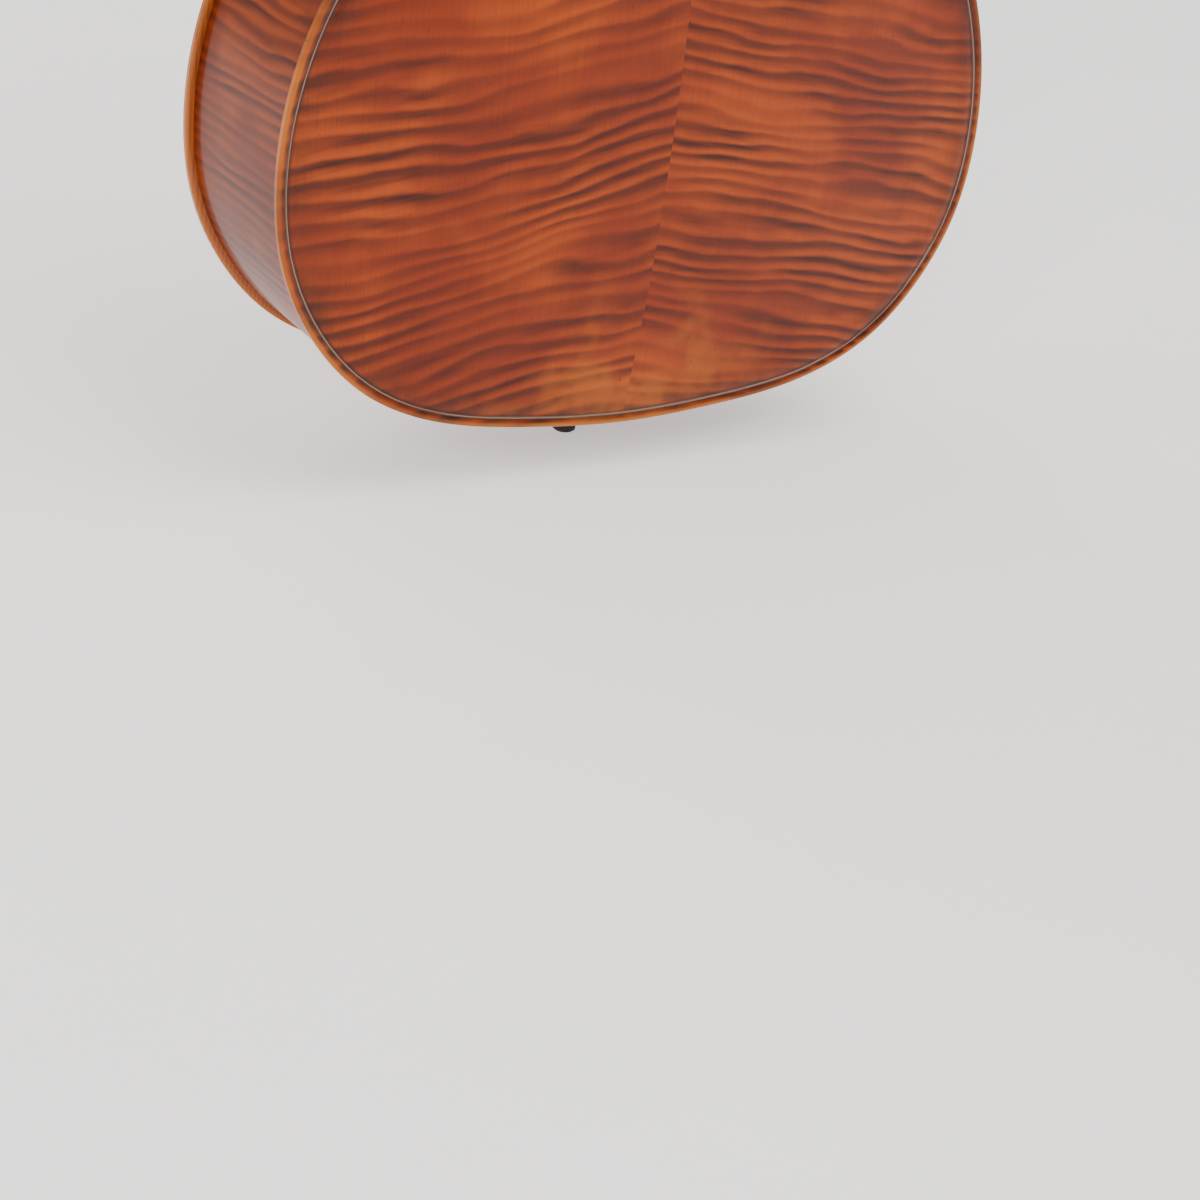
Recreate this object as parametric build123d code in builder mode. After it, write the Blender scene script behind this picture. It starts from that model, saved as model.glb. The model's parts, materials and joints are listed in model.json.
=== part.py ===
"""Full-size cello with built-in tuners in the tailpiece and a retractable endpin.

Units are millimetres. +Z runs from the endpin to the scroll, -Y is the front (top plate) and
+X is the treble side. The origin is the centre of the endpin's rubber foot, endpin retracted.
"""
import os
from math import acos, atan2, cos, hypot, radians, sin, sqrt

from build123d import *

# ---------------------------------------------------------------- body
body_bottom = 30.0            # foot to the lower edge of the plates
body_length = 756.0
lower_bout, middle_bout, upper_bout = 440.0, 232.0, 344.0
rib_height, rib_thickness = 117.0, 1.6
overhang = 4.5                # plate edge beyond the ribs
lining_thickness, lining_height = 2.5, 18.0
top_edge, top_thickness, top_rise = 4.8, 4.2, 21.2
back_edge, back_thickness, back_rise = 5.0, 4.4, 21.0
back_swell = 2.0              # the back is this much thicker in the middle
arch_across, arch_along = 1.35, 1.2    # higher values keep the arch flatter beside the edges
glue_margin = 14.0            # flat inner border of both plates
arch_margin = 11.0            # flat outer border at both ends
purfling_inset, purfling_width, purfling_depth = 4.8, 1.4, 2.0
corner_block_radius = 42.0
upper_block_width, lower_block_width, end_block_depth = 120.0, 90.0, 28.0
button_radius, button_centre = 14.5, 762.0

# outline stations, each (share of half the bout's width, share of the body length)
lower_curve = [(0.273, 0.0049), (0.545, 0.0185), (0.75, 0.0476), (0.891, 0.0926), (0.968, 0.139),
               (1.0, 0.2077), (0.973, 0.271), (0.909, 0.324), (0.845, 0.361), (0.823, 0.3836),
               (0.85, 0.4048)]
waist_curve = [(1.578, 0.4147), (1.42, 0.4173), (1.255, 0.4286), (1.12, 0.451), (1.03, 0.484),
               (1.0, 0.5225), (1.009, 0.5556), (1.06, 0.5873), (1.155, 0.611), (1.267, 0.625),
               (1.353, 0.630)]
upper_curve = [(0.32, 0.9931), (0.605, 0.9709), (0.802, 0.9365), (0.924, 0.8929), (0.988, 0.8466),
               (1.0, 0.8016), (0.965, 0.7606), (0.901, 0.7103), (0.872, 0.6746), (0.89, 0.6535),
               (0.936, 0.639)]
arch_curve = [(0.30, -0.03), (0.53, 0.015), (0.70, 0.05), (0.84, 0.10), (0.93, 0.17), (0.93, 0.245),
              (0.80, 0.345), (0.56, 0.44), (0.475, 0.523), (0.535, 0.60), (0.66, 0.69),
              (0.725, 0.79), (0.70, 0.87), (0.58, 0.935), (0.40, 0.985), (0.22, 1.03)]

# f-hole centre line, each (x, height above the bridge line, half width)
f_line = [(51, 50, 1.6), (56, 64, 1.7), (66, 69, 2.2), (74, 58, 3.0), (77.5, 30, 3.7),
          (80.5, 0, 3.9), (84, -30, 3.7), (89, -55, 3.0), (97, -66, 2.2), (105, -61, 1.7),
          (109, -47, 1.6)]
f_upper_eye, f_lower_eye = (52, 44, 5.5), (106, -40, 7.5)

bar_length, bar_width, bar_depth, bar_x = 580.0, 10.0, 24.0, -38.0
post_radius, post_x, post_below_bridge = 5.5, 38.0, 15.0

# ---------------------------------------------------------------- frames of reference
rib_half = rib_height / 2
bridge_station = 354.0        # along the body from its lower edge


def layer(y):
    """Plane parallel to the plates whose local x, y are body x and height above the lower edge."""
    return Plane(origin=(0, y, body_bottom), x_dir=(1, 0, 0), z_dir=(0, -1, 0))


def slab(profile, back_y, front_y):
    """Prism of a body profile between two depths."""
    with BuildPart() as prism:
        with BuildSketch(layer(back_y)):
            add(profile)
        extrude(amount=back_y - front_y)
    return prism.part


# ---------------------------------------------------------------- outline and arching
def scaled(curve, width):
    return [(x * width / 2, s * body_length) for x, s in curve]


def both_sides(points, middle):
    return [(-x, s) for x, s in reversed(points)] + [middle] + points


def respline(face, steps=12):
    """The same face with every curved edge redrawn as a spline through points on it."""
    with BuildSketch() as redrawn:
        with BuildLine():
            for edge in face.outer_wire().edges():
                if edge.geom_type == GeomType.LINE:
                    Line(edge @ 0, edge @ 1)
                else:
                    Spline(*[edge @ (k / steps) for k in range(steps + 1)])
        make_face()
    return redrawn.sketch


def body_outline(inset=0.0):
    lower = both_sides(scaled(lower_curve, lower_bout), (0, 0))
    upper = both_sides(scaled(upper_curve, upper_bout), (0, body_length))
    waist = scaled(waist_curve, middle_bout)
    with BuildSketch() as face:
        with BuildLine():
            Spline(*lower)
            Spline(*upper)
            for side in (1, -1):
                Spline(*[(side * x, s) for x, s in waist])
                Line(lower[-1 if side > 0 else 0], (side * waist[0][0], waist[0][1]))
                Line(upper[-1 if side > 0 else 0], (side * waist[-1][0], waist[-1][1]))
        make_face()
        if inset:
            offset(amount=-inset, kind=Kind.INTERSECTION)
    return respline(face.face()) if inset else face.sketch


arch_guide = Spline(*scaled(arch_curve, lower_bout))


def arching(across, station):
    """Share of the full rise at a share of the arch's half width, at a station."""
    middle = body_length / 2
    along = min(1.0, abs(station - middle) / (middle - arch_margin))
    return (1 - min(1.0, abs(across)) ** 2.2) ** arch_across * (1 - along ** 4) ** arch_along


def arch_solid(side, height, depth=130.0):
    """Everything on the inner side of an arched surface; height takes the arching share."""
    rows = []
    for k in range(41):
        guide = arch_guide.position_at(k / 40)
        across = [(t / 8, guide.X * t / 8) for t in range(-8, 9)]
        outer = [(1, (guide.X + 245) / 2), (1, 245)]
        across = [(t, -x) for t, x in reversed(outer)] + across + outer
        rows.append([Vector(x, side * (rib_half + height(arching(t, guide.Y))),
                            body_bottom + guide.Y) for t, x in across])
    surface = Face.make_surface_from_array_of_points(rows, tol=0.02)
    return extrude(surface, amount=depth, dir=(0, -side, 0))


top_outer = arch_solid(-1, lambda share: top_edge + top_rise * share)
top_inner = arch_solid(-1, lambda share: top_edge - top_thickness + top_rise * share)
back_outer = arch_solid(1, lambda share: back_edge + back_rise * share)
back_inner = arch_solid(1, lambda share: back_edge - back_thickness + (back_rise - back_swell) * share)

parts = {}

# ---------------------------------------------------------------- blocks, ribs and linings
rib_outer, rib_inner = body_outline(overhang), body_outline(overhang + rib_thickness)
lower_corner = (185.0, 309.5)
upper_corner = (159.0, 479.5)

with BuildSketch() as corner_faces:
    for x, s in (lower_corner, upper_corner):
        with Locations((x, s), (-x, s)):
            Circle(corner_block_radius)
    add(rib_inner, mode=Mode.INTERSECT)

with BuildSketch() as upper_block_face:
    with Locations((0, body_length - overhang - rib_thickness - end_block_depth)):
        Rectangle(upper_block_width, 60, align=(Align.CENTER, Align.MIN))
    add(rib_inner, mode=Mode.INTERSECT)

with BuildSketch() as lower_block_face:
    with Locations((0, overhang + rib_thickness + end_block_depth)):
        Rectangle(lower_block_width, 60, align=(Align.CENTER, Align.MAX))
    add(rib_inner, mode=Mode.INTERSECT)

block_faces = [corner_faces.sketch, upper_block_face.sketch, lower_block_face.sketch]

with BuildSketch() as cavity_face:
    add(body_outline(glue_margin))
    add(block_faces, mode=Mode.SUBTRACT)

with BuildSketch() as lining_face:
    add(rib_inner)
    add(body_outline(overhang + rib_thickness + lining_thickness), mode=Mode.SUBTRACT)
    add(block_faces, mode=Mode.SUBTRACT)

parts["corner_blocks"] = slab(corner_faces.sketch, rib_half, -rib_half)
upper_block = slab(upper_block_face.sketch, rib_half, -rib_half)
lower_block = slab(lower_block_face.sketch, rib_half, -rib_half)
parts["linings_back"] = slab(lining_face.sketch, rib_half, rib_half - lining_height)
parts["linings_top"] = slab(lining_face.sketch, lining_height - rib_half, -rib_half)

with BuildPart() as rib_ring:
    add(slab(rib_outer, rib_half, -rib_half))
    add(slab(rib_inner, rib_half + 1, -rib_half - 1), mode=Mode.SUBTRACT)


def rib_region(side, bout):
    """Plan area of one rib; neighbouring ribs meet on a slanted line through each corner."""
    reach = 260.0
    low = [(0, 244), lower_corner, (reach, lower_corner[1] + 30)]
    high = [(0, 530), upper_corner, (reach, upper_corner[1] - 30)]
    corners = {
        "lower": [(0, -20), (reach, -20)] + low[::-1],
        "middle": low + high[::-1],
        "upper": high + [(reach, 800), (0, 800)],
    }[bout]
    with BuildSketch() as region:
        with BuildLine():
            Polyline(*[(side * x, s) for x, s in corners], close=True)
        make_face()
    return slab(region.sketch, rib_half + 1, -rib_half - 1)


ribs = {}
for side, side_name in ((1, "treble"), (-1, "bass")):
    for bout in ("upper", "middle", "lower"):
        with BuildPart() as rib:
            add(rib_ring.part)
            add(rib_region(side, bout), mode=Mode.INTERSECT)
        ribs[f"rib_{bout}_{side_name}"] = rib.part

# ---------------------------------------------------------------- neck frame
neck_angle, overstand, neck_length = 9.2, 22.0, 280.0
nut_width, nut_length, nut_height = 31.0, 7.0, 0.9     # height above the fingerboard
board_length, board_width, board_edge, board_radius = 580.0, 64.0, 5.5, 62.0
root_depth = 12.0
tilt = radians(neck_angle)
up_neck = Vector(0, sin(tilt), cos(tilt))
off_neck = Vector(0, -cos(tilt), sin(tilt))
glue_front = rib_half + top_edge + overstand
nut_point = Vector(0, -glue_front, body_bottom + body_length) + up_neck * neck_length
neck_front = Plane(origin=nut_point, x_dir=(1, 0, 0), z_dir=off_neck)       # local x, up the neck
neck_side = Plane(origin=nut_point, x_dir=up_neck, z_dir=(1, 0, 0))         # up the neck, front


def neck_cross(u):
    """Plane across the neck at u; local y points to the front."""
    return Plane(origin=nut_point + up_neck * u, x_dir=(1, 0, 0), z_dir=up_neck * -1)


def board_half(u):
    return (nut_width + (board_width - nut_width) * -u / board_length) / 2


def crowned(half, edge, radius):
    """Height of the middle of an arc that is edge high at both sides."""
    return edge + radius - sqrt(radius ** 2 - half ** 2)


def crowned_face(half, edge, radius, base=0.0):
    """Flat-bottomed section with an arched top."""
    with BuildSketch() as section:
        with BuildLine():
            Polyline((-half, edge), (-half, base), (half, base), (half, edge))
            ThreePointArc((half, edge), (0, crowned(half, edge, radius)), (-half, edge))
        make_face()
    return section.sketch


with BuildPart() as fingerboard:
    for u in (0, -board_length):
        with BuildSketch(neck_cross(u)):
            add(crowned_face(board_half(u), board_edge, board_radius))
    loft()
    hollow_ends = (-neck_length - 20, -board_length - 1)
    for u in hollow_ends:
        half = board_half(u) - 5
        with BuildSketch(neck_cross(u)):
            add(crowned_face(half, 1.0, board_radius * 0.8, base=-1))
    loft(mode=Mode.SUBTRACT)
    fillet(fingerboard.faces().sort_by(Axis.Z)[0].edges().filter_by(GeomType.CIRCLE), 0.8)
parts["fingerboard"] = fingerboard.part

# ---------------------------------------------------------------- neck, heel and scroll
rib_face_station = body_length - overhang
heel_corner_u = -neck_length - overhang / cos(tilt)
button_top = button_centre + button_radius


def side_point(y, station):
    """Neck side-plane coordinates of a point given by its depth and body station."""
    local = neck_side.to_local_coords(Vector(0, y, body_bottom + station))
    return local.X, local.Y


def heel_section(u, v, lean, width, depth, lead=3.0):
    """D-shaped section starting a little before its flat side; lean turns it up the neck."""
    direction = up_neck * sin(radians(lean)) - off_neck * cos(radians(lean))
    origin = nut_point + up_neck * u + off_neck * v
    plane = Plane(origin=origin, x_dir=(1, 0, 0), z_dir=Vector(1, 0, 0).cross(direction))
    half = width / 2
    with BuildSketch(plane) as section:
        with BuildLine():
            Line((-half, -lead), (half, -lead))
            Spline((half, -lead), (half * 0.985, depth * 0.2), (half * 0.83, depth * 0.62),
                   (half * 0.45, depth * 0.93), (0, depth), (-half * 0.45, depth * 0.93),
                   (-half * 0.83, depth * 0.62), (-half * 0.985, depth * 0.2), (-half, -lead),
                   tangents=((0, 1), (0, -1)))
        make_face()
    return section.sketch


heel_lean = 90 + neck_angle
shaft_sections = [(nut_length, 0, 0, nut_width, 18.3), (-130, 0, 0, 2 * board_half(-130), 19.6),
                  (-205, 0, 0, 2 * board_half(-205), 21.3),
                  (-243, 0, 20, 2 * board_half(-243), 30.0),
                  (heel_corner_u, 0, 52, 2 * board_half(-284), 46.0)]
heel_sections = [(*side_point(y, rib_face_station), heel_lean, width, depth)
                 for y, width, depth in ((-38, 42.0, 30.5), (8, 35.0, 26.5),
                                         (rib_half, 2 * button_radius - 0.4, 24.8))]



def smooth_sequence(rows, steps=3):
    """Catmull-Rom interpolation of equal-length rows of numbers."""
    padded = [rows[0]] + rows + [rows[-1]]
    result = []
    for k in range(1, len(padded) - 2):
        for j in range(steps):
            t = j / steps
            result.append([(2 * b + (c - a) * t + (2 * a - 5 * b + 4 * c - d) * t ** 2
                            + (3 * b - a - 3 * c + d) * t ** 3) / 2
                           for a, b, c, d in zip(*padded[k - 1:k + 3])])
    return result + [list(rows[-1])]


pegbox_front = [(-8, 0), (nut_length, 0), (9, -6), (60, -20), (108, -34), (119, -42)]
pegbox_back = [(132, -84), (112, -78), (100, -72), (50, -54), (12, -42), (4, -34), (-2, -24), (-8, -18)]
pegbox_width = [(-8, 15.5), (6, 16.5), (15, 22), (28, 23), (130, 17), (190, 17)]
trough_side = [(9, 5), (9, -30), (50, -43), (100, -60), (108, -60), (113, -40), (113, 5)]
trough_width = [(8, 13.5), (12, 14), (114, 9)]
scroll_u, scroll_v = 151.0, -55.5
scroll_steps = [(31.5, 17.0), (22.0, 24.0), (13.0, 29.0), (6.5, 33.0)]     # radius, half width


def mirrored_face(stations):
    """Face across the neck's front plane from (u, half width) stations."""
    with BuildSketch(neck_front.offset(20)) as face:
        with BuildLine():
            Polyline(*[(half, u) for u, half in stations],
                     *[(-half, u) for u, half in reversed(stations)], close=True)
        make_face()
    return face.sketch


def tapered_prism(side_points, stations):
    """Intersection of a side view and a front view of the head."""
    with BuildPart() as prism:
        with BuildSketch(neck_side):
            with BuildLine():
                Polyline(*side_points, close=True)
            make_face()
        extrude(amount=40, both=True)
        extrude(mirrored_face(stations), amount=-160, mode=Mode.INTERSECT)
    return prism.part


with BuildPart() as root:
    with BuildSketch(Plane.XY.offset(body_bottom + rib_face_station - root_depth)):
        with BuildLine():
            Polyline((-21, -110), (21, -110), (button_radius - 0.5, rib_half),
                     (0.5 - button_radius, rib_half), close=True)
        make_face()
    extrude(amount=root_depth)

with BuildPart() as in_front_of_neck:
    with BuildSketch(neck_front):
        with Locations((0, -100)):
            Rectangle(120, 500)
    extrude(amount=60)

with BuildPart() as body_space:
    with Locations((0, 0, body_bottom + rib_face_station)):
        Box(80, 300, 60, align=(Align.CENTER, Align.CENTER, Align.MAX))

with BuildPart() as behind_back:
    with Locations((0, rib_half, body_bottom + body_length)):
        Box(80, 60, 200, align=(Align.CENTER, Align.MIN, Align.CENTER))

with BuildPart() as neck:
    for section in smooth_sequence(shaft_sections + heel_sections):
        add(heel_section(*section))
    loft(ruled=True)
    add(body_space.part, mode=Mode.SUBTRACT)
    add(root.part)
    add(in_front_of_neck.part, mode=Mode.SUBTRACT)
    add(behind_back.part, mode=Mode.SUBTRACT)
    add(tapered_prism(pegbox_front + pegbox_back, pegbox_width))
    with BuildSketch(neck_side):
        with Locations((scroll_u, scroll_v)):
            Circle(scroll_steps[0][0])
    extrude(amount=scroll_steps[0][1], both=True)
    for radius, half in scroll_steps[1:]:
        with BuildSketch(neck_side):
            with Locations((scroll_u, scroll_v)):
                Circle(radius)
        extrude(amount=half, both=True)
    add(tapered_prism(trough_side, trough_width), mode=Mode.SUBTRACT)

# ---------------------------------------------------------------- bridge, post and bar
bridge_height, bridge_foot, bridge_top = 90.0, 11.0, 2.8
bridge_radius = 62.0
string_names = ("c", "g", "d", "a")
string_radius = {"c": 0.78, "g": 0.57, "d": 0.45, "a": 0.35}
bridge_x = {"c": -24.0, "g": -8.0, "d": 8.0, "a": 24.0}
nut_x = {"c": -11.25, "g": -3.75, "d": 3.75, "a": 11.25}
seat = 0.3                    # share of a string's radius standing clear of its seat

arch_front = rib_half + top_edge + top_rise
bridge_crown = arch_front + bridge_height
bridge_plane = Plane(origin=(0, -arch_front, body_bottom + bridge_station), x_dir=(1, 0, 0),
                     z_dir=(0, 0, -1))          # local y is the height above the arch

bridge_side = [(45, -12), (45, 1.5), (39.5, 5), (35.5, 15), (35, 28), (38.5, 41), (33.5, 47),
               (31.5, 52), (36, 57), (37, 62), (33, 74), (29, 82.8)]
bridge_arch = [(32.5, -12), (32.5, 1), (30, 5), (27.5, 18), (21, 29.5), (10, 35.5)]

with BuildPart() as bridge:
    with BuildSketch(bridge_plane):
        with BuildLine():
            Polyline(*bridge_side)
            Polyline(*[(-x, y) for x, y in bridge_side])
            ThreePointArc(bridge_side[-1], (0, bridge_height), (-29, 82.8))
            Line(bridge_side[0], bridge_arch[0])
            Line((-bridge_side[0][0], -12), (-bridge_arch[0][0], -12))
            Polyline(*bridge_arch, *[(-x, y) for x, y in bridge_arch[::-1]])
        make_face()
        with Locations((3.4, 63), (-3.4, 63)):
            Circle(4.6, mode=Mode.SUBTRACT)
        with Locations((0, 56)):
            Rectangle(4.5, 12, mode=Mode.SUBTRACT)
        with Locations((20, 54), (-20, 54)):
            Ellipse(7.5, 5.5, mode=Mode.SUBTRACT)
    extrude(amount=bridge_foot / 2, both=True)
    with BuildSketch(Plane(origin=bridge_plane.origin, x_dir=(0, 0, 1), z_dir=(1, 0, 0))):
        with BuildLine():
            Polyline((-5.5, -20), (-5.5, 95), (bridge_top - 5.5, 95), (5.5, 4), (5.5, -20),
                     close=True)
        make_face()
    extrude(amount=60, both=True, mode=Mode.INTERSECT)
    add(top_outer, mode=Mode.SUBTRACT)

bar_z = body_bottom + bridge_station + 20
with BuildPart() as bass_bar:
    with BuildSketch(Plane(origin=(bar_x, -rib_half, bar_z), x_dir=(0, 0, 1), z_dir=(1, 0, 0))):
        reach = bar_length / 2
        front = arch_front - rib_half
        with BuildLine():
            Line((-reach, front), (reach, front))
            Spline((reach, front - 22), (reach * 0.5, front - 23), (0, front - bar_depth - 4),
                   (-reach * 0.5, front - 23), (-reach, front - 22))
            Line((-reach, front - 22), (-reach, front))
            Line((reach, front - 22), (reach, front))
        make_face()
    extrude(amount=bar_width / 2, both=True)
    add(top_inner, mode=Mode.INTERSECT)
parts["bass_bar"] = bass_bar.part

with BuildPart() as sound_post:
    with BuildSketch(layer(rib_half + 60)):
        with Locations((post_x, bridge_station - post_below_bridge)):
            Circle(post_radius)
    extrude(amount=rib_height + 120)
    add(top_inner, mode=Mode.INTERSECT)
    add(back_inner, mode=Mode.INTERSECT)
parts["sound_post"] = sound_post.part

# ---------------------------------------------------------------- nut and saddle
with BuildPart() as nut:
    with BuildSketch(neck_cross(0)):
        add(crowned_face(nut_width / 2, board_edge + nut_height, board_radius))
    extrude(amount=-nut_length)
    nut_top = crowned(nut_width / 2, board_edge + nut_height, board_radius)
    with BuildSketch(neck_side):
        with BuildLine():
            Polyline((0, 0), (0, nut_top + 1), (2.5, nut_top - 0.1), (5.2, nut_top - 3.2), (7, 2), (7, 0),
                     close=True)
        make_face()
    extrude(amount=40, both=True, mode=Mode.INTERSECT)

saddle_width, saddle_depth, saddle_front = 40.0, 12.0, rib_half + 14.5
with BuildPart() as saddle:
    with BuildSketch(Plane(origin=(0, 0, body_bottom), x_dir=(0, 0, 1), z_dir=(1, 0, 0))):
        with BuildLine():
            Polyline((0, rib_half), (0, saddle_front - 3), (3, saddle_front), (6, saddle_front - 0.5),
                     (saddle_depth, rib_half + top_edge + 1.5), (saddle_depth, rib_half), close=True)
        make_face()
    extrude(amount=saddle_width / 2, both=True)
    chamfer(saddle.edges().filter_by(Axis.Z, reverse=True).group_by(Axis.Y)[0], 1.2)

# ---------------------------------------------------------------- tailpiece and its tuners
after_length, tail_angle = 115.0, 15.6
tail_head, tail_end = 8.0, -217.0
tail_sections = [(tail_head, 30.0, 15.5), (-50, 28.0, 15.5), (tail_end, 12.0, 11.5)]
tail_top, tail_radius, tail_shell = -2.5, 80.0, 3.5
tuner_x = {"c": -21.0, "g": -7.0, "d": 7.0, "a": 21.0}
axle_y, axle_z, axle_radius = -6.0, -12.5, 1.5
ball_radius, ball_hole, ball_y = 3.2, 1.3, -5.0
screw_y, screw_radius, screw_pitch, screw_turns = -38.0, 2.0, 0.5, 6
screw_head, screw_head_height = 4.0, 5.5
lever_width, lever_arm_top = 4.6, -12.4
running = 0.05                # radial clearance of everything that turns
lever_lift = 0.4              # how far a hook rises under its string as its lever tilts

slope = radians(tail_angle)
toward_bridge = Vector(0, -sin(slope), cos(slope))
off_tail = Vector(0, -cos(slope), -sin(slope))
bridge_string_point = Vector(0, -bridge_crown, body_bottom + bridge_station)
tail_plane = Plane(origin=bridge_string_point - toward_bridge * after_length, x_dir=(1, 0, 0),
                   z_dir=off_tail)
tail_side = Plane(origin=tail_plane.origin, x_dir=toward_bridge, z_dir=(1, 0, 0))


def tail_cross(y):
    """Plane across the tailpiece; local y points to the front."""
    return Plane(origin=tail_plane.origin + toward_bridge * y, x_dir=(1, 0, 0),
                 z_dir=toward_bridge * -1)


def tail_surface(x):
    return tail_top + sqrt(tail_radius ** 2 - x ** 2) - tail_radius


def tail_face(half, depth, shell=0.0):
    """Section of the tailpiece, or of its hollow when a shell thickness is given."""
    half, depth = half - shell, depth + shell
    crown = tail_top - 2 * shell * (shell > 0) * 0.85
    with BuildSketch() as section:
        side = crown + sqrt(tail_radius ** 2 - half ** 2) - tail_radius
        with BuildLine():
            Polyline((-half, side), (-half * 0.94, tail_top - depth), (half * 0.94, tail_top - depth),
                     (half, side))
            ThreePointArc((half, side), (0, crown), (-half, side))
        make_face()
    return section.sketch


def string_height(x):
    """Local height of a string above the tail plane's origin."""
    return -x ** 2 / 160


with BuildPart() as tailpiece:
    for y, half, depth in tail_sections:
        with BuildSketch(tail_cross(y)):
            add(tail_face(half, depth))
    loft(ruled=True)
    for y, half, depth in ((2, 29.8, 15.5), (-50, 28.0, 15.5), (-185, 15.0, 12.4)):
        with BuildSketch(tail_cross(y)):
            add(tail_face(half, depth, tail_shell))
    loft(ruled=True, mode=Mode.SUBTRACT)
    for x in tuner_x.values():
        with BuildSketch(tail_plane):
            with Locations((x, -4.5)):
                RectangleRounded(2 * ball_radius + 0.7, 13, 2)
        extrude(amount=-15, mode=Mode.SUBTRACT)
        with BuildSketch(tail_plane):
            with Locations((x, screw_y)):
                Circle(screw_radius + running)
        extrude(amount=-15, mode=Mode.SUBTRACT)
    with BuildSketch(tail_side):
        with Locations((axle_y, axle_z)):
            Circle(axle_radius)
    extrude(amount=29, both=True, mode=Mode.SUBTRACT)

with BuildPart() as tuner_axle:
    with BuildSketch(tail_side):
        with Locations((axle_y, axle_z)):
            Circle(axle_radius)
    extrude(amount=29, both=True)
parts["tuner_axle"] = tuner_axle.part

for name in string_names:
    x, z = tuner_x[name], string_height(tuner_x[name])
    slot = string_radius[name] + 0.35
    with BuildPart() as lever:
        with BuildSketch(tail_side.offset(x)):
            with BuildLine():
                Polyline((screw_y - 3, lever_arm_top), (screw_y - 3, lever_arm_top - 2.6),
                         (axle_y, axle_z - 3.2), (axle_y + 3.2, axle_z), (1.0, z - 4.5),
                         (1.0, z + 2.2), (-1.7, z + 2.2), (-1.7, z - 3.4), (axle_y + 1, z - 4.2),
                         (axle_y - 3.6, lever_arm_top), close=True)
            make_face()
        extrude(amount=lever_width / 2, both=True)
        with BuildSketch(tail_side.offset(x)):
            with Locations((axle_y, axle_z)):
                Circle(axle_radius + running)
        extrude(amount=lever_width, both=True, mode=Mode.SUBTRACT)
        with BuildSketch(tail_cross(2)):
            with Locations((x, z - lever_lift)):
                Circle(slot)
                Rectangle(2 * slot, 6, align=(Align.CENTER, Align.MIN))
        extrude(amount=6, mode=Mode.SUBTRACT)
    with BuildPart() as ball:
        with Locations(tail_plane.location * Location((x, ball_y + 0.1, z))):
            Sphere(ball_radius)
        with BuildSketch(tail_cross(0)):
            with Locations((x, z)):
                Circle(ball_hole)
        extrude(amount=12, mode=Mode.SUBTRACT)
        add(lever.part, mode=Mode.SUBTRACT)
    with BuildPart() as screw:
        with BuildSketch(tail_plane.offset(tail_surface(x) + 1.0)):
            with Locations((x, screw_y)):
                RegularPolygon(screw_head, 16)
        extrude(amount=screw_head_height)
        with BuildSketch(tail_plane.offset(lever_arm_top + 0.3)):
            with Locations((x, screw_y)):
                Circle(screw_radius)
        extrude(amount=tail_surface(x) + 1.0 - lever_arm_top - 0.3)
    parts[f"tuner_lever_{name}"] = lever.part
    parts[f"string_ball_{name}"] = ball.part
    parts[f"tuner_screw_{name}"] = screw.part

# ---------------------------------------------------------------- pegs and their windings
peg_u = {"c": 24.0, "a": 50.0, "g": 76.0, "d": 100.0}
peg_v = {"c": -26.0, "a": -33.0, "g": -40.5, "d": -48.0}
peg_sign = {"c": -1, "g": -1, "d": 1, "a": 1}
winding_start = {"c": 4.5, "a": 3.0, "g": 1.5, "d": 1.0}
winding_length, string_gap = 8.0, 0.3
peg_radius, peg_taper = 6.65, 1 / 34.0
collar_radius, collar_out, thumb_out, thumb_radius = 8.5, 6.0, 25.0, 13.0


def peg_plane(name):
    """Local x runs along the peg to its head, local y up the neck or down it."""
    origin = nut_point + up_neck * peg_u[name] + off_neck * peg_v[name]
    return Plane(origin=origin, x_dir=(peg_sign[name], 0, 0), z_dir=off_neck)


def cheek_half(name):
    return 23.0 - 6.0 * (peg_u[name] - 28) / 102


def shaft_radius(name, along):
    return peg_radius - (cheek_half(name) - along) * peg_taper


def peg_shaft(name, start, end, clearance=0.0):
    plane = peg_plane(name)
    with BuildPart() as shaft:
        with BuildSketch(plane):
            with BuildLine():
                Polyline((start, 0), (end, 0), (end, shaft_radius(name, end) + clearance),
                         (start, shaft_radius(name, start) + clearance), close=True)
            make_face()
        revolve(axis=Axis(plane.origin, plane.x_dir))
    return shaft.part


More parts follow.
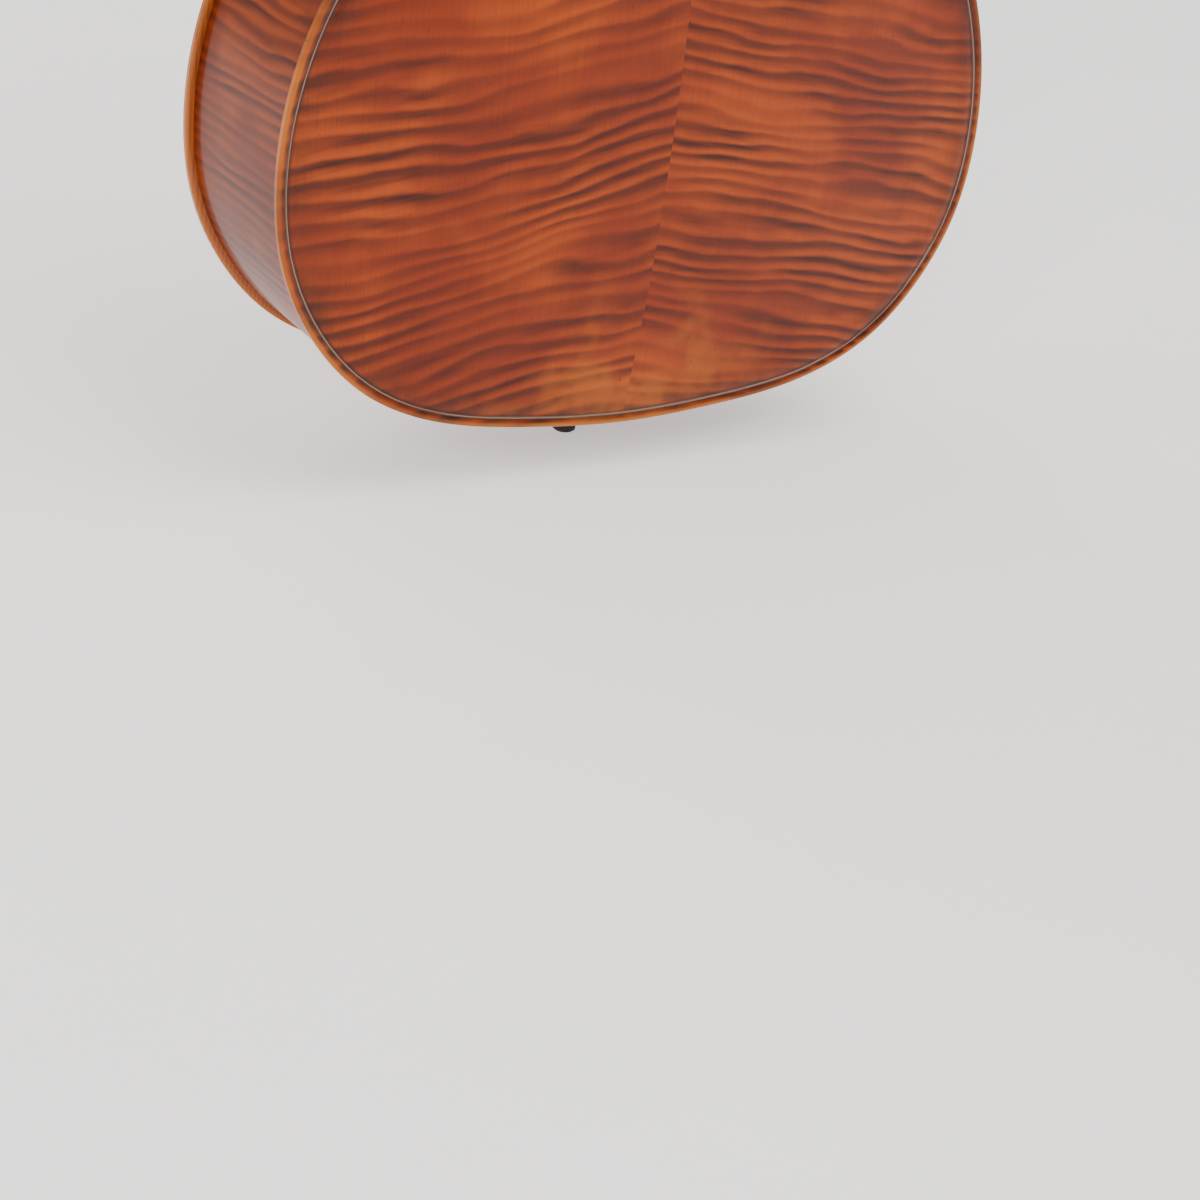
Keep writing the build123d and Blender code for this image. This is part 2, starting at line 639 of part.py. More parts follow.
wound_radius = {}
for name in string_names:
    plane, half = peg_plane(name), cheek_half(name)
    tip, collar = -half - 1.5, half + collar_out
    start, end = winding_start[name], winding_start[name] + winding_length
    wound_radius[name] = shaft_radius(name, (start + end) / 2) + 2 * string_radius[name]
    with BuildPart() as peg:
        with BuildSketch(plane):
            with BuildLine():
                Polyline((tip, 0), (tip, shaft_radius(name, tip)), (collar, shaft_radius(name, collar)),
                         (collar, collar_radius - 1), (collar + 1, collar_radius),
                         (collar + 2.5, collar_radius), (collar + 3.5, collar_radius - 1),
                         (collar + 5, 5.2), (collar + 9, 4.6), (collar + 16, 5.0),
                         (collar + 16, 0), close=True)
            make_face()
        revolve(axis=Axis(plane.origin, plane.x_dir))
        with BuildSketch(plane):
            with Locations((collar + thumb_out - 2, 0)):
                Circle(thumb_radius)
            with Locations((collar + thumb_out + thumb_radius - 1.5, 0)):
                Circle(3.2)
        extrude(amount=4.2, both=True)
    with BuildPart() as winding:
        with BuildSketch(Plane(origin=plane.origin + plane.x_dir * start, z_dir=plane.x_dir)):
            Circle(wound_radius[name])
        extrude(amount=winding_length)
        add(peg_shaft(name, start - 1, end + 1), mode=Mode.SUBTRACT)
    with BuildPart(mode=Mode.PRIVATE) as drilled:
        add(neck.part)
        add(peg_shaft(name, -half - 20, half + 20, running), mode=Mode.SUBTRACT)
    neck = drilled
    parts[f"peg_{name}"] = peg.part.solids().sort_by(SortBy.VOLUME)[-1]
    parts[f"winding_{name}"] = winding.part

# ---------------------------------------------------------------- strings
def across_circle(half_x, radius):
    return sqrt(radius ** 2 - half_x ** 2) - radius


strings = {}
for name in string_names:
    radius = string_radius[name]
    x = bridge_x[name]
    over_bridge = bridge_string_point + Vector(x, -across_circle(x, bridge_radius) - radius * seat, 0)
    start = tail_plane.from_local_coords(Vector(tuner_x[name], ball_y + 0.8,
                                                string_height(tuner_x[name])))
    x = nut_x[name]
    over_nut = (nut_point + up_neck * 2.0
                + off_neck * (nut_top + across_circle(x, board_radius) + radius * seat)
                + Vector(x, 0, 0))
    reach = wound_radius[name] + radius + string_gap
    du, dv = 2.0 - peg_u[name], nut_top + across_circle(x, board_radius) - peg_v[name]
    angle = atan2(dv, du) - acos(reach / hypot(du, dv))
    centre = peg_plane(name).origin + Vector(
        peg_sign[name] * (winding_start[name] + winding_length / 2), 0, 0)
    end = centre + up_neck * (reach * cos(angle)) + off_neck * (reach * sin(angle))
    with BuildPart() as string:
        with BuildLine() as path:
            FilletPolyline(start, over_bridge, over_nut, end, radius=2.5)
        with BuildSketch(Plane(origin=path.line @ 0, z_dir=path.line % 0)):
            Circle(radius)
        sweep(path=path.line)
    strings[name] = string.part
    parts[f"string_{name}"] = string.part

for support in (bridge, nut):
    with support:
        for string in strings.values():
            add(string, mode=Mode.SUBTRACT)
parts["bridge"], parts["nut"] = bridge.part, nut.part

# ---------------------------------------------------------------- endpin and tail cord
plug_bottom, plug_flange, plug_flange_top, plug_neck = 27.0, 14.0, 32.0, 9.6
plug_wide, plug_narrow, plug_top = 13.0, 11.5, 68.0
rod_radius, rod_length, rod_bottom = 5.0, 500.0, 6.0
ferrule_radius, ferrule_bottom, clamp_z = 9.0, 14.3, 20.5
clamp_radius, clamp_head, clamp_head_start, clamp_head_end = 2.5, 7.0, -14.6, -22.0
pad_length, boss_radius, boss_end = 2.0, 5.0, -11.5
tip_height, tip_radius, tip_foot = 14.0, 7.5, 5.5
cord_radius, cord_x, cord_loop_z = 1.0, 8.0, 33.3


def turned(profile):
    """Solid of revolution about the endpin's axis from (radius, height) points."""
    with BuildPart() as solid:
        with BuildSketch(Plane.XZ):
            with BuildLine():
                Polyline(*profile, close=True)
            make_face()
        revolve(axis=Axis.Z)
    return solid.part


def cross_bore(radius, start, end):
    """Cylinder across the ferrule, along Y at the clamp screw's height."""
    with BuildPart() as bore:
        with BuildSketch(Plane(origin=(0, start, clamp_z), x_dir=(1, 0, 0), z_dir=(0, -1, 0))):
            Circle(radius)
        extrude(amount=start - end)
    return bore.part


rib_face = body_bottom + overhang
bore = rod_radius + running
plug_body = turned([(0, plug_bottom), (plug_flange - 2, plug_bottom), (plug_flange, plug_bottom + 2),
                    (plug_flange, plug_flange_top - 1.5), (plug_flange - 1.5, plug_flange_top),
                    (plug_neck, plug_flange_top), (plug_neck, rib_face), (plug_wide, rib_face),
                    (plug_narrow, plug_top), (0, plug_top)])
rod_hole = turned([(0, -10), (bore, -10), (bore, 200), (0, 200)])

with BuildPart() as end_plug:
    add(plug_body)
    add(rod_hole, mode=Mode.SUBTRACT)
parts["end_plug"] = end_plug.part

with BuildPart() as ferrule:
    add(turned([(0, ferrule_bottom), (ferrule_radius - 1, ferrule_bottom),
                (ferrule_radius, ferrule_bottom + 1), (ferrule_radius, plug_bottom), (0, plug_bottom)]))
    add(cross_bore(boss_radius, 0, boss_end))
    add(rod_hole, mode=Mode.SUBTRACT)
    add(cross_bore(clamp_radius + running, 0, boss_end - 1), mode=Mode.SUBTRACT)
parts["endpin_ferrule"] = ferrule.part

with BuildPart() as clamp_screw:
    pad_end = -bore - 0.05 - pad_length
    add(cross_bore(clamp_radius, pad_end - 0.02, clamp_head_start))
    with BuildSketch(Plane(origin=(0, clamp_head_start, clamp_z), x_dir=(1, 0, 0), z_dir=(0, -1, 0))):
        RegularPolygon(clamp_head, 14)
    extrude(amount=clamp_head_start - clamp_head_end)
parts["endpin_screw"] = clamp_screw.part
parts["endpin_pad"] = cross_bore(clamp_radius - 0.02, -bore - 0.05, pad_end)

rod_top = rod_bottom + rod_length
parts["endpin_rod"] = turned([(0, rod_bottom), (rod_radius, rod_bottom), (rod_radius, rod_top - 1),
                              (rod_radius - 1, rod_top), (0, rod_top)])
with BuildPart() as tip:
    add(turned([(0, 0), (tip_foot, 0), (tip_foot + 1.2, 1.0), (tip_radius, tip_height - 2),
                (tip_radius - 1, tip_height), (0, tip_height)]))
    add(parts["endpin_rod"], mode=Mode.SUBTRACT)
parts["endpin_tip"] = tip.part

loop_radius = plug_neck + cord_radius + 0.2
with BuildPart() as tail_cord:
    start = tail_plane.from_local_coords(Vector(cord_x, tail_end + 22, tail_top - 7))
    leave = tail_plane.from_local_coords(Vector(cord_x, tail_end - 6, tail_top - 7))
    with BuildLine() as path:
        side = [start, leave, (9.5, -saddle_front - cord_radius - 0.3, body_bottom + 4.0),
                (10.2, -saddle_front + 4.0, body_bottom - cord_radius - 0.5),
                (loop_radius, -rib_half + 2.0, body_bottom - cord_radius - 0.5),
                (loop_radius, -rib_half + 16.0, cord_loop_z), (loop_radius, 0, cord_loop_z)]
        one = FilletPolyline(*side, radius=1.8)
        mirror(one, about=Plane.YZ)
        ThreePointArc((loop_radius, 0, cord_loop_z), (0, loop_radius, cord_loop_z),
                      (-loop_radius, 0, cord_loop_z))
    with BuildSketch(Plane(origin=one @ 0, z_dir=one % 0)):
        Circle(cord_radius)
    sweep(path=path.wires()[0])
parts["tail_cord"] = tail_cord.part

with tailpiece:
    for x in (cord_x, -cord_x):
        with BuildSketch(tail_cross(tail_end - 1)):
            with Locations((x, tail_top - 7)):
                Circle(cord_radius)
        extrude(amount=-60, mode=Mode.SUBTRACT)
parts["tailpiece"] = tailpiece.part

with saddle:
    add(tail_cord.part, mode=Mode.SUBTRACT)
parts["saddle"] = saddle.part

# ---------------------------------------------------------------- finishing the wooden box
for name, rib in ribs.items():
    cuts = {"upper": root.part, "lower": plug_body}.get(name.split("_")[1])
    if cuts is not None:
        with BuildPart() as fitted:
            add(rib)
            add(cuts, mode=Mode.SUBTRACT)
        rib = fitted.part
    parts[name] = rib
for name, block, cut in (("upper_block", upper_block, root.part),
                         ("lower_block", lower_block, plug_body)):
    with BuildPart() as fitted:
        add(block)
        add(cut, mode=Mode.SUBTRACT)
    parts[name] = fitted.part

with BuildSketch() as button_face:
    with Locations((0, button_centre)):
        Circle(button_radius)

with BuildSketch() as purfling_face:
    add(body_outline(purfling_inset))
    add(body_outline(purfling_inset + purfling_width), mode=Mode.SUBTRACT)


def purfling(side, edge, arch):
    level = side * (rib_half + edge)
    ends = sorted((level - side * purfling_depth, level + side * 2))
    with BuildPart() as strip:
        add(slab(purfling_face.sketch, ends[1], ends[0]))
        add(arch, mode=Mode.INTERSECT)
    return strip.part


def plate(side, outer, inner, inlay, extras=()):
    """Arched plate, hollowed inside its glued border and channelled for the purfling."""
    ends = sorted((side * rib_half, side * (rib_half + 40)))
    with BuildPart() as blank:
        add(slab(body_outline(), ends[1], ends[0]))
        for extra in extras:
            add(slab(extra, ends[1], ends[0]))
        add(outer, mode=Mode.INTERSECT)
    with BuildPart() as hollow:
        add(slab(cavity_face.sketch, ends[1] + 1, ends[0] - 1))
        add(inner, mode=Mode.INTERSECT)
    with BuildPart() as result:
        add(blank.part)
        add(hollow.part, mode=Mode.SUBTRACT)
        add(inlay, mode=Mode.SUBTRACT)
    return result.part


def f_hole():
    """Treble sound hole as a face in body coordinates."""
    line = Spline(*[(x, bridge_station + s) for x, s, _ in f_line])
    edges = {1: [], -1: []}
    for x, s, half in f_line:
        tangent = line.tangent_at(Vector(x, bridge_station + s))
        for side in edges:
            edges[side].append((x - side * tangent.Y * half, bridge_station + s + side * tangent.X * half))
    with BuildSketch() as face:
        with BuildLine():
            Spline(*edges[1])
            Spline(*edges[-1])
            Line(edges[1][0], edges[-1][0])
            Line(edges[1][-1], edges[-1][-1])
        make_face()
        for x, s, radius in (f_upper_eye, f_lower_eye):
            with Locations((x, bridge_station + s)):
                Circle(radius)
        with Locations((f_line[5][0], bridge_station)):
            with Locations((-4.6, 0), (4.6, 0)):
                RegularPolygon(2.2, 3, rotation=90)
    return face.sketch


with BuildPart() as saddle_notch:
    with Locations((0, -rib_half, body_bottom)):
        Box(saddle_width, 60, 2 * saddle_depth)
with BuildPart() as strip:
    add(purfling(-1, top_edge, top_outer))
    add([neck.part, saddle_notch.part], mode=Mode.SUBTRACT)
parts["top_purfling"] = strip.part
parts["back_purfling"] = purfling(1, back_edge, back_outer)
with BuildPart() as top:
    add(plate(-1, top_outer, top_inner, parts["top_purfling"]))
    sound_hole = f_hole()
    for hole in (sound_hole, sound_hole.mirror(Plane.YZ)):
        add(slab(hole, -rib_half + 1, -rib_half - 60), mode=Mode.SUBTRACT)
    add([neck.part, saddle_notch.part], mode=Mode.SUBTRACT)
back = plate(1, back_outer, back_inner, parts["back_purfling"], [button_face.sketch])
parts["neck"] = neck.part

for side, side_name in ((Keep.TOP, "treble"), (Keep.BOTTOM, "bass")):
    for name, board in (("top", top.part), ("back", back)):
        with BuildPart() as half:
            add(board)
            split(bisect_by=Plane.YZ, keep=side)
        parts[f"{name}_half_{side_name}"] = half.part.solids().sort_by(SortBy.VOLUME)[-1]

# ---------------------------------------------------------------- output
os.makedirs("parts", exist_ok=True)
for name, part in parts.items():
    part.label = name
    export_step(part, f"parts/{name}.step")
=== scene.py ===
import bpy, bmesh, json
import numpy as np
from math import cos, exp, hypot, pi, radians, sin, sqrt, tan
from mathutils import Matrix, Vector, kdtree

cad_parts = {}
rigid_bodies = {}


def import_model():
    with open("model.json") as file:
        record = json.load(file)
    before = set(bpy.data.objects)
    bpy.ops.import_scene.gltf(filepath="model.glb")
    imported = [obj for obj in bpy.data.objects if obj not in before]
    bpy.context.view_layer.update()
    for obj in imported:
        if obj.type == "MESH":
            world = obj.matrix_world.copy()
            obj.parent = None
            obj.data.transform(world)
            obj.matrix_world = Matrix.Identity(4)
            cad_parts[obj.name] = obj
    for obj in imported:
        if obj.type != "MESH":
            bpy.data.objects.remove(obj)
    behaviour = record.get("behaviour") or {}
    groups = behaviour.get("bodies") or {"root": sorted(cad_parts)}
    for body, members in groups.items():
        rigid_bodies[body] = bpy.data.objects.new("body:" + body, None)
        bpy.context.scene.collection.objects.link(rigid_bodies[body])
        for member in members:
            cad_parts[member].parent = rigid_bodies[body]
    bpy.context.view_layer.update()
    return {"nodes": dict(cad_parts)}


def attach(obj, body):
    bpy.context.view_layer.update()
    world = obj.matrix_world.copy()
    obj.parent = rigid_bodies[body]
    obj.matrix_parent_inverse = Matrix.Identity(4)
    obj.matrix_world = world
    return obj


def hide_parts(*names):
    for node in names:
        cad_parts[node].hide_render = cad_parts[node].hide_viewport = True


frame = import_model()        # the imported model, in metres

mm = 0.001
scene = bpy.context.scene
print("frame loaded:", len(frame["nodes"]), "nodes")

# ---- camera and light

view = dict(azimuth=147.56, elevation=25.82, roll=6.37, distance=1.6885, lens=82.6,
            target=(-0.0384, 0.0, -0.1184))
floor = dict(size=30.0, color=(0.88, 0.855, 0.83), roughness=0.9, glow=0.68)
lamps = dict(window=dict(place=(2.4, 2.6, 1.9), size=1.1, power=60, color=(1.0, 0.98, 0.95)),
             ceiling=dict(place=(-0.8, 1.4, 3.0), size=2.4, power=75, color=(1.0, 0.98, 0.96)),
             side=dict(place=(2.8, -0.6, 1.2), size=1.6, power=34, color=(0.93, 0.95, 1.0)),
             front=dict(place=(0.6, -2.8, 2.2), size=2.0, power=40, color=(1.0, 0.98, 0.95)))
ambient = dict(color=(0.95, 0.96, 1.0), strength=0.62)


def placeCamera():
    az, el, roll = (radians(view[k]) for k in ("azimuth", "elevation", "roll"))
    back = Vector((sin(az) * cos(el), -cos(az) * cos(el), sin(el)))
    right = Vector((cos(az), sin(az), 0))
    up = back.cross(right)
    turnedRight = cos(roll) * right + sin(roll) * up
    turnedUp = cos(roll) * up - sin(roll) * right
    camera = bpy.data.objects.new("camera", bpy.data.cameras.new("camera"))
    scene.collection.objects.link(camera)
    camera.data.lens, camera.data.clip_end = view["lens"], 100
    frameOf = Matrix((turnedRight, turnedUp, back)).transposed().to_4x4()
    camera.matrix_world = Matrix.Translation(Vector(view["target"]) + back * view["distance"]) @ frameOf
    scene.camera = camera


def placeLamps():
    for name, lamp in lamps.items():
        light = bpy.data.lights.new(name, "AREA")
        light.size, light.energy, light.color = lamp["size"], lamp["power"], lamp["color"]
        obj = bpy.data.objects.new(name, light)
        scene.collection.objects.link(obj)
        aim = Vector((0, 0, 0.45)) - Vector(lamp["place"])
        turned = aim.to_track_quat("-Z", "Y").to_matrix().to_4x4()
        obj.matrix_world = Matrix.Translation(lamp["place"]) @ turned
    world = bpy.data.worlds.new("room")
    world.use_nodes = True
    backdrop = world.node_tree.nodes["Background"]
    backdrop.inputs["Color"].default_value = (*ambient["color"], 1)
    backdrop.inputs["Strength"].default_value = ambient["strength"]
    scene.world = world


placeCamera()
placeLamps()
print("camera and lamps placed")

# ---- shader maths


class Val:
    # wraps a socket, so that values add up like numbers
    def __init__(self, paint, socket):
        self.paint, self.socket = paint, socket

    def op(self, kind, *others, clamp=False):
        return self.paint.node("ShaderNodeMath", dict(operation=kind, use_clamp=clamp), self, *others)[0]

    def __add__(self, other): return self.op("ADD", other)
    def __radd__(self, other): return self.op("ADD", other)
    def __sub__(self, other): return self.op("SUBTRACT", other)

    def __rsub__(self, other):
        return self.paint.node("ShaderNodeMath", dict(operation="SUBTRACT"), other, self)[0]

    def __mul__(self, other): return self.op("MULTIPLY", other)
    def __rmul__(self, other): return self.op("MULTIPLY", other)
    def __abs__(self): return self.op("ABSOLUTE")


class Paint:
    # one material and its nodes
    def __init__(self, name, **fixed):
        self.material = bpy.data.materials.new(name)
        self.material.use_nodes = True
        self.tree = self.material.node_tree
        self.shader = self.tree.nodes["Principled BSDF"]
        for key, value in fixed.items():
            self.fix(key, value)

    def fix(self, key, value):
        socket = self.shader.inputs[key]
        socket.default_value = (*value, 1) if isinstance(value, tuple) and len(value) == 3 else value

    def node(self, kind, settings=None, *inputs, **named):
        made = self.tree.nodes.new(kind)
        for key, value in (settings or {}).items():
            setattr(made, key, value)
        for key, value in list(enumerate(inputs)) + list(named.items()):
            if value is None:
                continue
            socket = made.inputs[key if isinstance(key, int) else key.replace("_", " ")]
            if isinstance(value, Val):
                self.tree.links.new(value.socket, socket)
            else:
                socket.default_value = (*value, 1) if socket.type == "RGBA" and len(value) == 3 else value
        return [Val(self, out) for out in made.outputs]

    def place(self):
        # object coordinates as x, y, z values in millimetres
        coords = self.node("ShaderNodeTexCoord")[3]
        parts = self.node("ShaderNodeSeparateXYZ", None, coords)
        return [part * 1000.0 for part in parts[:3]]

    def attribute(self, name):
        return self.node("ShaderNodeAttribute", dict(attribute_name=name))[2]

    def vector(self, x, y, z):
        return self.node("ShaderNodeCombineXYZ", None, x, y, z)[0]

    def noise(self, vector, scale=1.0, detail=2.0, roughness=0.5, distortion=0.0):
        return self.node("ShaderNodeTexNoise", None, Vector=vector, Scale=scale, Detail=detail,
                         Roughness=roughness, Distortion=distortion)[0]

    def between(self, value, low, high, start=0.0, end=1.0):
        # smooth step of a value from one number to another
        return self.node("ShaderNodeMapRange", dict(interpolation_type="SMOOTHSTEP"), value, low, high,
                         start, end)[0]

    def mix(self, factor, first, second, blend="MIX"):
        made = self.tree.nodes.new("ShaderNodeMix")
        made.data_type, made.blend_type = "RGBA", blend
        for socket, value in ((made.inputs[0], factor), (made.inputs[6], first), (made.inputs[7], second)):
            if isinstance(value, Val):
                self.tree.links.new(value.socket, socket)
            else:
                socket.default_value = (*value, 1) if isinstance(value, tuple) else value
        return Val(self, made.outputs[2])

    def bump(self, height, strength=0.3, distance=0.0002, normal=None):
        return self.node("ShaderNodeBump", None, Strength=strength, Distance=distance, Height=height,
                         Normal=normal)[0]

    def feed(self, **links):
        for key, value in links.items():
            self.tree.links.new(value.socket, self.shader.inputs[key.replace("_", " ")])
        return self.material


# ---- materials

maple = dict(light=(0.36, 0.050, 0.0006), deep=(0.23, 0.024, 0.0005), stripe=(0.042, 0.0040, 0.0005),
             gold=(0.50, 0.135, 0.008), dirtAndShade=(0.020, 0.006, 0.003), flameWidth={1: 10.6, -1: 8.8, 0: 7.5},
             flameLength=125.0, rise=11.0, coat=0.30, coatRoughness=0.05, specular=0.12)

# Painted shade: the ribs get a darker copy of the back's maple colours for the side faces.
shadedRibMaple = dict(maple, light=(0.24, 0.034, 0.0006), deep=(0.15, 0.018, 0.0005), coat=0.2, specular=0.08)


def flameField(paint, along, across, width, length):
    # uneven maple figure: near 1 on a stripe, which starts sharply and fades out, and 0 between stripes
    def drift(u, v, shift):
        return paint.noise(paint.vector(along * (u / length), across * (v / width), shift), 1.0, 2.0, 0.5)
    phase = across * (1 / width) + (drift(0.8, 0.16, 1.7) - 0.5) * 4.0 + (drift(3.0, 0.5, 5.1) - 0.5) * 0.6
    turn = paint.node("ShaderNodeMath", dict(operation="FRACT"), phase)[0]
    stripe = paint.between(turn, 0.0, 0.62) * paint.between(turn, 1.0, 0.72)
    strength = paint.between(drift(0.9, 0.30, 8.3), 0.30, 0.62)
    thin = paint.between(drift(2.4, 1.9, 3.1), 0.47, 0.66)
    return stripe * (0.25 + 0.75 * strength) + thin * 0.22 * strength


def mapleVarnish(name, half=None, along=None, look=maple):
    # flamed maple under a transparent red-brown varnish; half turns the figure at the centre joint
    paint = Paint(name, **{"Specular IOR Level": look["specular"], "Coat Weight": look["coat"],
                           "Coat Roughness": look["coatRoughness"], "Coat IOR": 1.45})
    x, y, z = paint.place()
    if half:
        side = abs(x)
        flames = flameField(paint, side, z + side * tan(radians(look["rise"])) + half * 400.0,
                            look["flameWidth"][half], look["flameLength"])
        fibre = paint.vector(x * 1.6, y * 0.2, z * 0.035)
    elif along == "rib":
        flames = flameField(paint, y, paint.attribute("run") * 1000.0, look["flameWidth"][0], 160.0)
        fibre = paint.vector(x * 0.05, y * 1.5, z * 0.05)
    else:
        flames = flameField(paint, x, z + y * 0.35, look["flameWidth"][0], 60.0)
        fibre = paint.vector(x * 1.5, y * 1.5, z * 0.05)
    grain = paint.noise(fibre, 1.0, 3.0, 0.65)
    cloud = paint.noise(paint.vector(x * 0.011, y * 0.011, z * 0.011), 1.0, 3.0, 0.55)
    pores = paint.between(paint.noise(paint.vector(x * 1.1, y * 1.1, z * 0.28), 1.0, 1.0, 0.5), 0.70, 0.80)
    ground = paint.mix(paint.between(cloud, 0.38, 0.62), look["deep"], look["light"])
    color = paint.mix(flames * (0.6 + 0.4 * cloud), ground, look["stripe"])
    color = paint.mix(paint.between(grain, 0.35, 0.8) * 0.22, color, look["stripe"])
    color = paint.mix(pores * 0.45, color, look["dirtAndShade"])
    if half:
        edge = paint.attribute("edge") * 1000.0
        low = paint.between(z, 150.0, 36.0)
        patch = paint.noise(paint.vector(x * 0.02, 0.0, z * 0.02), 1.0, 3.0, 0.6)
        worn = paint.between(patch + low * 0.22, 0.60, 0.78)
        color = paint.mix(worn * low * paint.between(side, 130.0, 20.0) * 0.36, color, look["gold"])
        # Painted shade: a patchy dark band from 26 to 6 mm inside the edge.
        edgeShadeMottle = paint.between(paint.noise(paint.vector(x * 0.03, 0.0, z * 0.03), 1.0, 4.0, 0.65), 0.40, 0.70)
        nearEdge = paint.between(edge, 26.0, 6.0)
        color = paint.mix(nearEdge * (0.18 + 0.45 * edgeShadeMottle), color, look["dirtAndShade"])
        # Dirt in the fluted channel and painted shade of the recess: darker along the channel.
        channel = paint.between(abs(edge - 5.6), 2.6, 0.5)
        color = paint.mix(channel * 0.6, color, look["dirtAndShade"])
        bead = paint.between(edge, 3.4, 1.2)
        color = paint.mix(bead * (0.25 + 0.45 * paint.between(cloud, 0.40, 0.60)), color, look["gold"])
        dots = paint.noise(paint.vector(x * 0.22, 0.0, z * 0.22), 1.0, 2.0, 0.7)
        specks = paint.between(dots + low * 0.03, 0.73, 0.78)
        color = paint.mix(specks * 0.7, color, look["dirtAndShade"])
    relief = grain * 0.5 + flames * 0.25 + pores * -0.8
    rough = 0.30 + 0.12 * paint.noise(paint.vector(x * 0.04, y * 0.04, z * 0.04), 1.0, 3.0, 0.6)
    return paint.feed(Base_Color=color, Roughness=rough, Normal=paint.bump(relief, 0.12, 0.00012))


def plainWood(name, light, dark, fine=(1.4, 1.4, 0.05), coat=0.0, rough=0.5, relief=0.15):
    # straight-grained wood; fine is the grain's frequency per mm along x, y and z
    paint = Paint(name, **{"Coat Weight": coat, "Coat Roughness": 0.08})
    x, y, z = paint.place()
    grain = paint.noise(paint.vector(x * fine[0], y * fine[1], z * fine[2]), 1.0, 4.0, 0.6)
    cloud = paint.noise(paint.vector(x * 0.02, y * 0.02, z * 0.02), 1.0, 2.0, 0.5)
    color = paint.mix(paint.between(grain * 0.75 + cloud * 0.25, 0.36, 0.64), dark, light)
    return paint.feed(Base_Color=color, Roughness=rough + 0.2 * (grain - 0.5),
                      Normal=paint.bump(grain, relief, 0.0001))


def spruceVarnish(name, half):
    # close, straight annual rings that widen from the joint, under the same varnish
    look = dict(early=(0.50, 0.105, 0.006), late=(0.20, 0.028, 0.002), dirtAndShade=(0.030, 0.008, 0.003))
    paint = Paint(name, **{"Specular IOR Level": 0.2, "Coat Weight": 0.35, "Coat Roughness": 0.06,
                           "Coat IOR": 1.45})
    x, y, z = paint.place()
    drift = paint.noise(paint.vector(x * 0.01, 0.0, z * 0.004), 1.0, 2.0, 0.5)
    side = abs(x) + drift * 6.0
    ring = paint.node("ShaderNodeMath", dict(operation="FRACT"), side * (1 / 1.35) + side * side * -0.0009)[0]
    late = paint.between(ring, 0.35, 0.95) * paint.between(ring, 1.0, 0.95)
    fibre = paint.noise(paint.vector(x * 2.2, y * 0.3, z * 0.05), 1.0, 3.0, 0.6)
    cloud = paint.noise(paint.vector(x * 0.012, 0.0, z * 0.012), 1.0, 3.0, 0.6)
    color = paint.mix(late * 0.75, look["early"], look["late"])
    color = paint.mix(paint.between(fibre, 0.4, 0.75) * 0.25, color, look["late"])
    color = paint.mix(paint.between(cloud, 0.45, 0.75) * 0.45, color, look["late"])
    edge = paint.attribute("edge") * 1000.0
    # Painted shade: darker towards the edge, from 24 to 5 mm inside it.
    color = paint.mix(paint.between(edge, 24.0, 5.0) * (0.25 + 0.3 * cloud), color, look["dirtAndShade"])
    color = paint.mix(paint.between(edge, 3.4, 1.2) * 0.4, color, (0.52, 0.15, 0.012))
    return paint.feed(Base_Color=color, Roughness=0.3 + 0.15 * cloud,
                      Normal=paint.bump(late * 0.6 + fibre * 0.4, 0.15, 0.0001))


def metal(name, color, rough=0.25, scratch=(0.4, 0.4, 6.0)):
    paint = Paint(name, Metallic=1.0)
    x, y, z = paint.place()
    lines = paint.noise(paint.vector(x * scratch[0], y * scratch[1], z * scratch[2]), 1.0, 2.0, 0.6)
    tone = paint.mix(paint.between(lines, 0.3, 0.7), tuple(c * 0.82 for c in color), color)
    return paint.feed(Base_Color=tone, Roughness=rough + 0.15 * (lines - 0.5),
                      Normal=paint.bump(lines, 0.06, 0.00005))


def plainMatte(name, color, rough=0.6, grain=1.5, spread=0.5, **fixed):
    paint = Paint(name, **fixed)
    x, y, z = paint.place()
    mottle = paint.noise(paint.vector(x * grain, y * grain, z * grain), 1.0, 3.0, 0.6)
    tone = paint.mix(mottle, tuple(c * (1 - spread) for c in color), color)
    return paint.feed(Base_Color=tone, Roughness=rough + 0.1 * (mottle - 0.5),
                      Normal=paint.bump(mottle, 0.2, 0.0001))


def inlay(name, middle):
    # three thin strips side by side, dark outside and pale inside; across runs 0 to 1
    paint = Paint(name, **{"Coat Weight": 0.8, "Coat Roughness": 0.08})
    x, y, z = paint.place()
    across = paint.attribute("across")
    pale = paint.between(abs(across - 0.5), 0.22, 0.16)
    worn = paint.noise(paint.vector(x * 0.05, y * 0.05, z * 0.05), 1.0, 3.0, 0.6)
    color = paint.mix(pale * (0.35 + 0.5 * worn), (0.012, 0.006, 0.004), middle)
    return paint.feed(Base_Color=color, Roughness=0.35 + 0.1 * worn, Normal=paint.bump(pale, 0.05, 0.00005))


